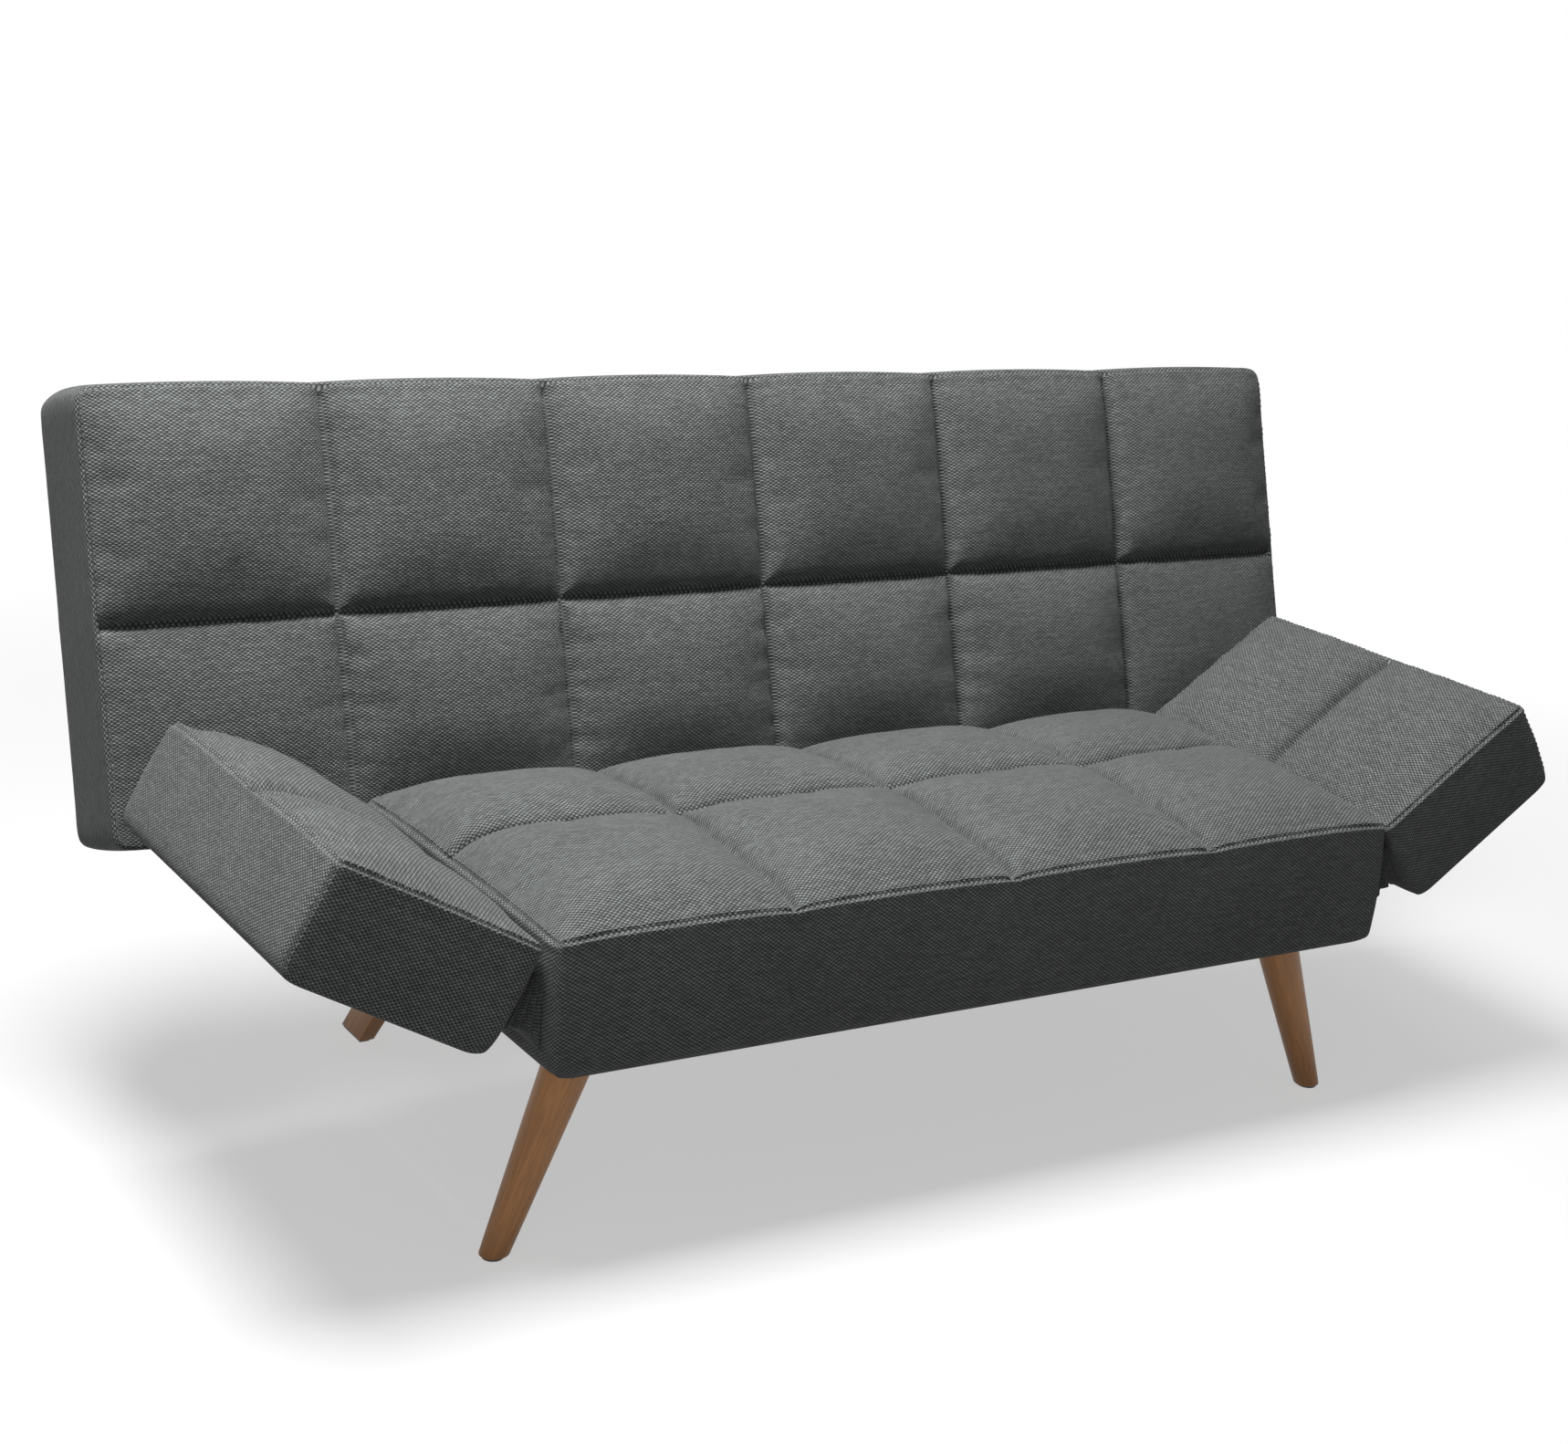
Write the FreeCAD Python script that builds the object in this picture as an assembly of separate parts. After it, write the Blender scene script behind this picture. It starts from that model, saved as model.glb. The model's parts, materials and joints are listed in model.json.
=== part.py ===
import FreeCAD, Part
import math
import os

V = FreeCAD.Vector

# The sofa stands on z = 0 and faces -Y, and +X is to the right of someone who looks at it.
# Lengths are in millimetres and angles in degrees.
# The back is drawn upright, and an arm flat, each about its own hinge, and then turned to its rest angle.

# Seat cushion
seat_width = 1200.0
seat_depth = 526.0
seat_edge_height = 404.0
seat_bottom_height = 244.0
column_width = 300.0
seat_front_row_depth = 290.0
seat_side_bulge = 3.0
seat_front_bottom_radius = 15.0
seat_rear_bottom_radius = 10.0
seat_end_bottom_radius = 30.0
seat_front_corner_radius = 20.0
seat_rear_corner_radius = 12.0

# How far the seat top stands over its edge, at the front, at the middle seam and at the rear
seat_side_rise = (1.0, 4.0, 1.0)
seat_seam_rise = (3.0, 27.0, 3.0)
seat_crown_rise = (7.0, 31.0, 6.0)
seat_side_swell = 1.0
seat_seam_swell = 13.0
seat_crown_swell = 24.0

# Back cushion
back_width = 1800.0
back_height = 544.0
back_thickness = 170.0
back_lower_row_height = 262.0
back_side_bulge = 4.0
back_top_rear_radius = 35.0
back_bottom_rear_radius = 25.0
back_front_corner_radius = 18.0
back_rear_corner_radius = 30.0
back_recline = 16.9
back_side_rise = (0.5, 0.5, 0.5)
back_seam_rise = (0.5, 0.5, 0.5)
back_crown_rise = (2.5, 4.0, 3.0)
back_side_swell = 1.0
back_seam_swell = 6.0
back_crown_swell = 16.5

# Where the back turns: its hinge stands this far in from the front and from the bottom of the back
back_hinge_inset = 24.0
back_corner_sweep = 34.0
seat_to_back_gap = 3.5

# Arm cushions
arm_length = 271.0
arm_thickness = 132.0
arm_front_setback = 10.0
arm_rear_setback = 4.0
arm_side_bulge = 3.0
arm_outer_bottom_radius = 20.0
arm_inner_bottom_radius = 25.0
arm_end_corner_radius = 10.0
arm_angle_left = 28.5
arm_angle_right = 33.5
arm_side_rise = (0.5, 0.5)
arm_seam_rise = (1.0, 1.0)
arm_crown_rise = (3.0, 3.0)
arm_side_swell = 1.0
arm_seam_swell = 7.0
arm_crown_swell = 17.0

# Where an arm turns: its hinge stands this far in from the top and from the inner end of the arm
arm_hinge_inset = 12.0
arm_corner_sweep = 17.0
seat_to_arm_gap = 3.0

# Covers and the cloths that close them
cover_thickness = 2.0
cover_gap = 0.3
cover_hem = 25.0
cloth_thickness = 1.5
cloth_gap = 0.5

# Seat frame
frame_border = 10.0
frame_rear_border = 8.0
rail_width = 30.0
rail_height = 54.0
leg_board_width = 125.0
leg_board_thickness = 22.0
middle_rail_height = 38.0
felt_thickness = 3.0

# Zigzag springs
spring_count = 6
spring_side_margin = 78.0
spring_wire_radius = 1.8
spring_half_width = 22.0
spring_waves = 20
spring_height = 4.0
clip_length = 14.0
clip_width = 12.0
clip_height = 7.0

# Bearers that carry the rear legs, and the bumpers on them
bearer_width = 34.0
bearer_height = 50.0
bearer_front_length = 366.0
bearer_screw_places = (40.0, 150.0, 260.0)
bearer_rear_margin = 40.0
bearer_step_clearance = 6.0
bearer_sweep_clearance = 6.0
bumper_radius = 13.0
bumper_rest_gap = 0.4
bumper_from_end = 22.0

# Front legs: round, tapered and splayed
front_foot_outward = 8.0
front_foot_from_front = 99.0
front_leg_inward = 0.39
front_leg_rearward = -0.03
front_foot_radius = 16.5
front_top_radius = 29.5
foot_edge_radius = 2.0

# Rear legs: flat boards, splayed outward and raked to the rear
rear_foot_from_side = 91.0
rear_foot_behind_seat = 210.0
rear_leg_inward = 0.27
rear_leg_forward = 0.5
rear_foot_width = 21.0
rear_foot_depth = 64.0
rear_top_width = 27.0
rear_top_depth = 70.0
glide_thickness = 3.0
glide_margin = 4.0

# Leg plates, bolts and screws
leg_plate_thickness = 3.0
front_plate_side = 84.0
rear_plate_length = 116.0
front_screw_offset = 34.0
rear_screw_offset = 48.0
leg_bolt_radius = 4.0
leg_bolt_in_leg = 30.0
leg_bolt_in_frame = 16.0
screw_radius = 2.0
screw_length = 14.0
screw_head_radius = 4.0
screw_head_height = 2.4
hole_gap = 0.1
rail_screw_length = 60.0

# Back frame
back_frame_border = 34.0
back_frame_bottom = 3.0
back_frame_top_margin = 36.0
back_frame_depth = 47.0
back_rail_height = 60.0
upright_width = 30.0
strap_count = 8
strap_width = 50.0
strap_thickness = 1.5
strap_end_margin = 8.0
back_strap_pitch = 126.0

# Click clack hinges
hinge_plate_thickness = 5.0
hinge_washer = 1.0
hinge_disc_radius = 20.0
hinge_neck_half_height = 12.0
hinge_pin_radius = 5.0
hinge_head_radius = 9.0
hinge_head_height = 4.0
running_gap = 0.05
hinge_pocket_clearance = 1.5
seat_plate_first_bolt = 146.0
seat_plate_bolt_pitch = 62.0
seat_plate_end_margin = 10.0
seat_neck_low_reach = 42.0
seat_neck_high_reach = 58.0
seat_plate_foot_height = 36.0
seat_plate_low_margin = 14.0
back_plate_height = 150.0
back_plate_margin = 6.0
back_plate_waist = 3.0
back_bolt_drops = (50.0, 15.0)
hinge_bolt_radius = 4.0
hinge_bolt_head_radius = 6.8
hinge_bolt_head_height = 3.5
notch_radius = 2.4
notch_angles = (28.0, -12.0, -45.0)
pawl_distance = 48.0
pawl_boss_radius = 7.0
pawl_lift = 0.4
pawl_nose_half_width = 2.0
pawl_waist_half_width = 6.0
pawl_rivet_radius = 2.5

# Arm ratchet hinges
arm_front_hinge_from_front = 112.0
arm_rear_hinge_from_rear = 134.0
leaf_thickness = 3.0
leaf_gap = 0.5
leaf_boss_radius = 8.0
leaf_strap_half_width = 6.0
leaf_pin_radius = 4.0
leaf_pin_head_radius = 6.5
leaf_pin_head_height = 2.5
leaf_foot_length = 24.0
leaf_foot_inset = 2.0
leaf_strap_setback = 32.0
leaf_strap_width = 14.0
arm_leaf_reach = 44.0
arm_leaf_knee = 2.0
arm_leaf_toe = 6.0
arm_board_thickness = 18.0
arm_board_margin = 28.0
arm_board_end_margin = 12.0
slot_gap = 0.5
pivot_room_clearance = 1.5
leaf_sweep_clearance = 5.0

# Gathered gusset cloths that close the wedge under each raised arm
gusset_thickness = 1.6
gusset_gap = 0.4
gusset_setback = 14.0
gusset_below_hinge = 24.0
gusset_above_arm_bottom = 28.0
gusset_above_seat_corner = 4.0
gusset_sag = 12.0
gusset_fold_width = 6.0
gusset_fold_depth = 7.0

# Places that follow from the sizes above
half_seat = seat_width / 2
half_back = back_width / 2
back_recline_cos = math.cos(math.radians(back_recline))
back_recline_sin = math.sin(math.radians(back_recline))
back_top = back_height - back_hinge_inset
back_rear = back_thickness - back_hinge_inset
seat_front_to_hinge = seat_depth + seat_to_back_gap + back_corner_sweep
hinge_to_rear = (
    (back_top - back_top_rear_radius) * back_recline_sin
    + (back_rear - back_top_rear_radius) * back_recline_cos
    + back_top_rear_radius
)
seat_front_y = -(seat_front_to_hinge + hinge_to_rear) / 2
seat_rear_y = seat_front_y + seat_depth
back_hinge_y = seat_front_y + seat_front_to_hinge
back_hinge_z = seat_edge_height - back_hinge_inset
arm_hinge_x = half_seat + seat_to_arm_gap + arm_corner_sweep
arm_hinge_z = seat_edge_height - arm_hinge_inset
arm_depth = seat_depth - arm_front_setback - arm_rear_setback
arm_front_y = seat_front_y + arm_front_setback
arm_outer = arm_length - arm_hinge_inset
arm_bottom = arm_hinge_inset - arm_thickness

frame_half_width = half_seat - cover_thickness - frame_border
frame_front_y = seat_front_y + cover_thickness + frame_border
frame_rear_y = seat_rear_y - cover_thickness - frame_rear_border
frame_bottom_z = seat_bottom_height + cover_thickness
frame_top_z = frame_bottom_z + rail_height
rail_inner_x = frame_half_width - rail_width
board_inner_x = rail_inner_x - leg_board_width
board_top_z = frame_bottom_z + leg_board_thickness
spring_spread = 2 * (rail_inner_x - spring_side_margin)
felt_low_z = frame_top_z + clip_height
felt_top_z = felt_low_z + felt_thickness

plate_x = frame_half_width
back_plate_x = plate_x - hinge_washer - hinge_plate_thickness
back_frame_front = back_rear - cover_thickness - cover_gap - back_frame_depth
back_frame_rear = back_rear - cover_thickness - cover_gap
back_frame_top = back_top - back_frame_top_margin
back_frame_half_width = half_back - back_frame_border

front_foot_x = half_seat + front_foot_outward
rear_foot_x = half_seat - rear_foot_from_side
bearer_x = rear_foot_x - rear_leg_inward * (frame_bottom_z - bearer_height)
bearer_bottom_z = frame_bottom_z - bearer_height
bearer_front_y = frame_rear_y + bearer_step_clearance - bearer_front_length
back_sweep_low_z = back_hinge_z - math.hypot(back_rear, back_hinge_inset)
# The bearers step down behind the seat where the back would sweep them
bearer_rear_top_z = min(frame_bottom_z, back_sweep_low_z - bearer_sweep_clearance)
rear_foot_y = seat_rear_y + rear_foot_behind_seat
rear_plate_z = bearer_bottom_z - leg_plate_thickness
rear_top_y = rear_foot_y - rear_leg_forward * rear_plate_z
rear_top_x = rear_foot_x - rear_leg_inward * rear_plate_z
bearer_rear_y = rear_top_y + rear_top_depth / 2 + bearer_rear_margin / 2
front_foot_y = seat_front_y + front_foot_from_front
front_plate_z = frame_bottom_z - leg_plate_thickness
front_top_x = front_foot_x - front_leg_inward * front_plate_z
front_top_y = front_foot_y - front_leg_rearward * front_plate_z

arm_board_top = arm_bottom + cover_thickness + cover_gap + arm_board_thickness
arm_board_inner = arm_board_margin - arm_hinge_inset
arm_board_outer = arm_outer - arm_board_margin

# How far a cutting tool runs past the face that it opens, and how far a loose end runs on
past = 1.0
slack = 60.0


# Basic solids
def box(x0, x1, y0, y1, z0, z1):
    return Part.makeBox(x1 - x0, y1 - y0, z1 - z0, V(x0, y0, z0))


def rod(radius, start, direction, length):
    return Part.makeCylinder(radius, length, start, direction)


def mirrored(shape):
    return shape.mirror(V(0, 0, 0), V(1, 0, 0))


def both_sides(shape):
    return [shape, mirrored(shape)]


def cut_all(shape, tools):
    for tool in tools:
        shape = shape.cut(tool)
    return shape


def flat_plate(points, place, thickness):
    corners = [place(a, b) for a, b in points]
    face = Part.Face(Part.makePolygon(corners + [corners[0]]))
    return face.extrude(thickness)


def rounded_prism(a_range, b_range, radii, place, length):
    """A block with rounded corners, drawn with place(a, b) and pushed along length.

    The radii run from the low a and low b corner, over high a, to high a and high b and back.
    """
    a0, a1 = a_range
    b0, b1 = b_range
    corners = [(a0, b0), (a1, b0), (a1, b1), (a0, b1)]
    steps = [(1, 0), (0, 1), (-1, 0), (0, -1)]
    edges = []
    joints = []
    for k in range(4):
        a, b = corners[k]
        out = steps[k]
        back = (-steps[k - 1][0], -steps[k - 1][1])
        r = max(radii[k], 0.0)
        start = (a + r * back[0], b + r * back[1])
        end = (a + r * out[0], b + r * out[1])
        joints.append((start, end))
        if r > 0:
            reach = r * (1 - math.sqrt(0.5))
            middle = (a + reach * (out[0] + back[0]), b + reach * (out[1] + back[1]))
            edges.append(Part.Arc(place(*start), place(*middle), place(*end)).toShape())
    for k in range(4):
        end = joints[k][1]
        start = joints[(k + 1) % 4][0]
        edges.append(Part.LineSegment(place(*end), place(*start)).toShape())
    wire = Part.Wire(Part.__sortEdges__(edges))
    return Part.Face(wire).extrude(length)


def screw(head_point, direction, radius, length, head_radius, head_height):
    """A screw whose head sits on head_point and whose shank runs along direction."""
    shank = rod(radius, head_point, direction, length)
    head = rod(head_radius, head_point - direction * head_height, direction, head_height)
    return shank.fuse(head)


def screw_hole(head_point, direction, radius, length):
    start = head_point - direction * slack
    return rod(radius + hole_gap, start, direction, length + slack + past)


# Tufted cushions
def level(ends, swell, fraction):
    """Height along one row of cells: a straight line between its ends plus a parabola."""
    return ends[0] + (ends[1] - ends[0]) * fraction + swell * 4 * fraction * (1 - fraction)


def tufted_section(lines, seams, crowns, low, bulge, place):
    """One slice of a cushion: an arc over each cell, a bulging arc down each side, a flat base."""
    edges = []
    for k in range(len(lines) - 1):
        middle = (lines[k] + lines[k + 1]) / 2
        arc = Part.Arc(
            place(lines[k], seams[k]),
            place(middle, crowns[k]),
            place(lines[k + 1], seams[k + 1]),
        )
        edges.append(arc.toShape())
    for side, out in ((-1, 1), (0, -1)):
        a = lines[side]
        middle = place(a + out * bulge, (seams[side] + low) / 2)
        edges.append(Part.Arc(place(a, seams[side]), middle, place(a, low)).toShape())
    edges.append(Part.LineSegment(place(lines[-1], low), place(lines[0], low)).toShape())
    return Part.Wire(Part.__sortEdges__(edges))


def tufted_pad(lines, stations, rises, swells, low, bulge, place):
    """Rows of crowned cells between the stations, each row one smooth loft of five slices."""
    side_rise, seam_rise, crown_rise = rises
    side_swell, seam_swell, crown_swell = swells
    pad = None
    for row in range(len(stations) - 1):
        slices = []
        for step in range(5):
            part = step / 4
            station = stations[row] + (stations[row + 1] - stations[row]) * part
            side = level(side_rise[row : row + 2], side_swell, part)
            seam = level(seam_rise[row : row + 2], seam_swell, part)
            crown = level(crown_rise[row : row + 2], crown_swell, part)
            seams = [side] + [seam] * (len(lines) - 2) + [side]
            crowns = [crown] * (len(lines) - 1)
            slices.append(
                tufted_section(lines, seams, crowns, low, bulge, lambda a, h: place(a, h, station))
            )
        loft = Part.makeLoft(slices, True, False)
        pad = loft if pad is None else pad.fuse(loft)
    return pad


def lowered(rises, inset):
    return tuple(tuple(value - inset for value in rise) for rise in rises)


def inset_radii(radii, inset):
    return [r - inset if r > inset else 0.0 for r in radii]


def seat_end_prism(inset):
    """The seat's outline as seen from the front, with its rounded lower corners."""
    half = half_seat - inset
    return rounded_prism(
        (-half, half),
        (seat_bottom_height + inset, seat_edge_height + slack),
        inset_radii([seat_end_bottom_radius, seat_end_bottom_radius, 0, 0], inset),
        lambda a, b: V(a, seat_front_y, b),
        V(0, seat_depth, 0),
    )


def seat_side_prism(inset):
    """The seat's outline as seen from its end, with its rounded lower edges."""
    return rounded_prism(
        (seat_front_y + inset, seat_rear_y - inset),
        (seat_bottom_height + inset, seat_edge_height + slack),
        inset_radii([seat_front_bottom_radius, seat_rear_bottom_radius, 0, 0], inset),
        lambda a, b: V(-half_seat, a, b),
        V(seat_width, 0, 0),
    )


def seat_form(inset):
    """The seat cushion, drawn in all round by inset."""
    half = half_seat - inset
    lines = [seat_side_bulge - half, -column_width, 0.0, column_width, half - seat_side_bulge]
    front = seat_front_y + inset
    rear = seat_rear_y - inset
    bottom = seat_bottom_height + inset
    top = seat_edge_height + slack
    rises = lowered((seat_side_rise, seat_seam_rise, seat_crown_rise), inset)
    pad = tufted_pad(
        lines,
        [front, seat_front_y + seat_front_row_depth, rear],
        rises,
        (seat_side_swell, seat_seam_swell, seat_crown_swell),
        bottom - slack - seat_edge_height,
        seat_side_bulge,
        lambda a, h, y: V(a, y, seat_edge_height + h),
    )
    plan = rounded_prism(
        (-half, half),
        (front, rear),
        inset_radii([seat_front_corner_radius] * 2 + [seat_rear_corner_radius] * 2, inset),
        lambda a, b: V(a, b, bottom),
        V(0, 0, top - bottom),
    )
    return pad.common(seat_side_prism(inset)).common(seat_end_prism(inset)).common(plan)


def corner_trim(radius, inset, place, along):
    """What lies beyond a circle about the hinge, in the corner that sweeps past the seat."""
    reach = slack
    block = flat_plate([(-reach, -reach), (0, -reach), (0, 0), (-reach, 0)], place, along)
    start = place(0, 0)
    core = rod(radius - inset, start, along, along.Length)
    return block.cut(core)


def back_form(inset):
    """The back cushion about its hinge: Z runs up its face and Y through its thickness."""
    half = half_back - inset
    inner_lines = [column_width * k for k in range(-2, 3)]
    lines = [back_side_bulge - half] + inner_lines + [half - back_side_bulge]
    bottom = inset - back_hinge_inset
    top = back_top - inset
    rear = back_rear - inset
    front = -back_hinge_inset - slack
    rises = lowered((back_side_rise, back_seam_rise, back_crown_rise), inset)
    pad = tufted_pad(
        lines,
        [bottom, back_lower_row_height - back_hinge_inset, top],
        rises,
        (back_side_swell, back_seam_swell, back_crown_swell),
        -back_thickness - slack,
        back_side_bulge,
        lambda a, h, s: V(a, -back_hinge_inset - h, s),
    )
    side = rounded_prism(
        (front, rear),
        (bottom, top),
        inset_radii([0, back_bottom_rear_radius, back_top_rear_radius, 0], inset),
        lambda a, b: V(-half, a, b),
        V(2 * half, 0, 0),
    )
    face = rounded_prism(
        (-half, half),
        (bottom, top),
        inset_radii([back_front_corner_radius] * 4, inset),
        lambda a, b: V(a, front, b),
        V(0, rear - front, 0),
    )
    plan = rounded_prism(
        (-half, half),
        (front, rear),
        inset_radii([0, 0, back_rear_corner_radius, back_rear_corner_radius], inset),
        lambda a, b: V(a, b, bottom),
        V(0, 0, top - bottom),
    )
    trim = corner_trim(
        back_corner_sweep, inset, lambda a, b: V(-half_back, a, b), V(back_width, 0, 0)
    )
    return pad.common(side).common(face).common(plan).cut(trim)


def arm_form(inset):
    """The right arm about its hinge and lying flat: X runs outward and Z up through it."""
    front = arm_front_y + inset
    rear = arm_front_y + arm_depth - inset
    middle = arm_front_y + arm_depth / 2
    lines = [front + arm_side_bulge, middle, rear - arm_side_bulge]
    inner = inset - arm_hinge_inset
    outer = arm_outer - inset
    bottom = arm_bottom + inset
    top = arm_hinge_inset + slack
    rises = lowered((arm_side_rise, arm_seam_rise, arm_crown_rise), inset)
    pad = tufted_pad(
        lines,
        [inner, outer],
        rises,
        (arm_side_swell, arm_seam_swell, arm_crown_swell),
        arm_bottom - slack,
        arm_side_bulge,
        lambda a, h, u: V(u, a, arm_hinge_inset + h),
    )
    side = rounded_prism(
        (inner, outer),
        (bottom, top),
        inset_radii([arm_inner_bottom_radius, arm_outer_bottom_radius, 0, 0], inset),
        lambda a, b: V(a, front, b),
        V(0, rear - front, 0),
    )
    plan = rounded_prism(
        (inner, outer),
        (front, rear),
        inset_radii([arm_end_corner_radius] * 4, inset),
        lambda a, b: V(a, b, bottom),
        V(0, 0, top - bottom),
    )
    trim = corner_trim(
        arm_corner_sweep, inset, lambda a, b: V(a, arm_front_y, -b), V(0, arm_depth, 0)
    )
    return pad.common(side).common(plan).cut(trim)


# Turning the back and the arms to their rest angles
def place_back(shape):
    placed = shape.copy()
    placed.rotate(V(0, 0, 0), V(1, 0, 0), -back_recline)
    placed.translate(V(0, back_hinge_y, back_hinge_z))
    return placed


def place_arm(shape, rise):
    placed = shape.copy()
    placed.rotate(V(0, 0, 0), V(0, 1, 0), -rise)
    placed.translate(V(arm_hinge_x, 0, arm_hinge_z))
    return placed


def save(name, solids):
    """Write one node as a solid, or as a group of solids."""
    found = []
    for shape in solids:
        found.extend(shape.Solids)
    shape = found[0] if len(found) == 1 else Part.makeCompound(found)
    for solid in found:
        if not solid.isValid():
            raise ValueError(name + " has a faulty solid")
    shape.exportStep("parts/" + name + ".step")
    bounds = shape.BoundBox
    print(
        name,
        len(found),
        round(shape.Volume / 1000, 1),
        [round(v, 1) for v in (bounds.XMin, bounds.XMax, bounds.YMin, bounds.YMax, bounds.ZMin, bounds.ZMax)],
    )


# Seat frame
def rail_screw_points():
    """Head points of the screws through the side rails into the front and rear rails."""
    ys = (frame_front_y + rail_width / 2, frame_rear_y - rail_width / 2)
    zs = (frame_bottom_z + rail_height / 3, frame_bottom_z + rail_height * 2 / 3)
    return [V(frame_half_width - screw_head_height, y, z) for y in ys for z in zs]


def rail_screws():
    return [
        screw(p, V(-1, 0, 0), screw_radius, rail_screw_length, screw_head_radius, screw_head_height)
        for p in rail_screw_points()
    ]


def rail_screw_holes():
    holes = []
    for p in rail_screw_points():
        holes.append(screw_hole(p, V(-1, 0, 0), screw_radius, rail_screw_length))
        holes.append(rod(screw_head_radius + hole_gap, p, V(1, 0, 0), slack))
    return holes


def arm_hinge_stations():
    return [seat_front_y + arm_front_hinge_from_front, seat_rear_y - arm_rear_hinge_from_rear]


def leaf_foot_screw_points():
    """Head points of the screws that hold the seat leaves down on the side rail."""
    z = frame_top_z + leaf_thickness
    x = frame_half_width - rail_width / 2
    points = []
    for y in arm_hinge_stations():
        for out in (-1, 1):
            points.append(V(x, y + leaf_thickness / 2 + out * leaf_foot_length / 3, z))
    return points


def seat_plate_bolt_points():
    """Bolts of the toothed plate: their heads sit on the plate, outside the side rail."""
    x = plate_x + hinge_plate_thickness
    z = frame_bottom_z + seat_plate_low_margin + seat_plate_foot_height / 2
    y0 = back_hinge_y - seat_plate_first_bolt
    return [V(x, y0 + step, z) for step in (0, seat_plate_bolt_pitch)]


def bearer_screw_points():
    """Head points of the screws up through the bearer into the leg board."""
    ys = [bearer_front_y + place for place in bearer_screw_places]
    return [V(bearer_x, y, bearer_bottom_z + bearer_height / 2) for y in ys]


def front_screw_points():
    offsets = (-front_screw_offset, front_screw_offset)
    return [V(front_top_x + a, front_top_y + b, front_plate_z) for a in offsets for b in offsets]


def rear_screw_points():
    return [V(bearer_x, rear_top_y + a, rear_plate_z) for a in (-rear_screw_offset, rear_screw_offset)]


UP = V(0, 0, 1)
INWARD = V(-1, 0, 0)


def leg_bolt(x, y, z):
    start = V(x, y, z - leg_bolt_in_leg)
    return rod(leg_bolt_radius, start, UP, leg_bolt_in_leg + leg_plate_thickness + leg_bolt_in_frame)


def leg_bolt_hole(x, y, z):
    start = V(x, y, z - leg_bolt_in_leg - hole_gap)
    length = leg_bolt_in_leg + leg_plate_thickness + leg_bolt_in_frame + 2 * hole_gap
    return rod(leg_bolt_radius + hole_gap, start, UP, length)


def build_seat_frame():
    front = box(
        -rail_inner_x, rail_inner_x, frame_front_y, frame_front_y + rail_width, frame_bottom_z, frame_top_z
    )
    rear = box(
        -rail_inner_x, rail_inner_x, frame_rear_y - rail_width, frame_rear_y, frame_bottom_z, frame_top_z
    )
    side = box(rail_inner_x, frame_half_width, frame_front_y, frame_rear_y, frame_bottom_z, frame_top_z)
    holes = rail_screw_holes()
    for point in leaf_foot_screw_points():
        holes.append(screw_hole(point, V(0, 0, -1), screw_radius, screw_length))
    for point in seat_plate_bolt_points():
        holes.append(rod(hinge_bolt_radius + hole_gap, V(0, point.y, point.z), V(1, 0, 0), half_seat))
    inside = cover_thickness + cover_gap
    rounded = seat_side_prism(inside).common(seat_end_prism(inside))
    front = front.common(rounded)
    rear = rear.common(rounded)
    side = cut_all(side.common(rounded), holes)
    for hole in rail_screw_holes():
        front = front.cut(hole).cut(mirrored(hole))
        rear = rear.cut(hole).cut(mirrored(hole))
    middle = box(
        -rail_width / 2,
        rail_width / 2,
        frame_front_y + rail_width,
        frame_rear_y - rail_width,
        frame_bottom_z,
        frame_bottom_z + middle_rail_height,
    )
    board = box(
        board_inner_x,
        rail_inner_x,
        frame_front_y + rail_width,
        frame_rear_y - rail_width,
        frame_bottom_z,
        board_top_z,
    )
    for point in front_screw_points():
        board = board.cut(screw_hole(point, UP, screw_radius, screw_length))
    for point in bearer_screw_points():
        board = board.cut(screw_hole(point, UP, screw_radius, bearer_height / 2 + screw_length))
    board = board.cut(leg_bolt_hole(front_top_x, front_top_y, front_plate_z))
    save("seat_front_rail", [front])
    save("seat_rear_rail", [rear])
    save("seat_side_rail_right", [side])
    save("seat_side_rail_left", [mirrored(side)])
    save("seat_middle_rail", [middle])
    save("seat_leg_boards", both_sides(board))
    screws = rail_screws()
    save("seat_frame_screws", screws + [mirrored(s) for s in screws])


# Zigzag springs, their clips and the felt pad
def spring_places():
    return [spring_spread * (k / (spring_count - 1) - 0.5) for k in range(spring_count)]


def spring_ends():
    return frame_front_y + rail_width / 2, frame_rear_y - rail_width / 2


def zigzag_spring(x, z):
    """Straight runs across the seat joined by half circles, front rail to rear rail."""
    start, end = spring_ends()
    pitch = (end - start) / spring_waves
    r = pitch / 2
    reach = spring_half_width - r
    edges = []
    for k in range(spring_waves + 1):
        y = start + k * pitch
        side = 1 if k % 2 == 0 else -1
        edges.append(Part.LineSegment(V(x - side * reach, y, z), V(x + side * reach, y, z)).toShape())
        if k < spring_waves:
            tip = V(x + side * (reach + r), y + r, z)
            turn = Part.Arc(V(x + side * reach, y, z), tip, V(x + side * reach, y + pitch, z))
            edges.append(turn.toShape())
    path = Part.Wire(edges)
    ring = Part.Wire(Part.makeCircle(spring_wire_radius, V(x - reach, start, z), V(1, 0, 0)))
    return path.makePipeShell([ring], True, True)


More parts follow.
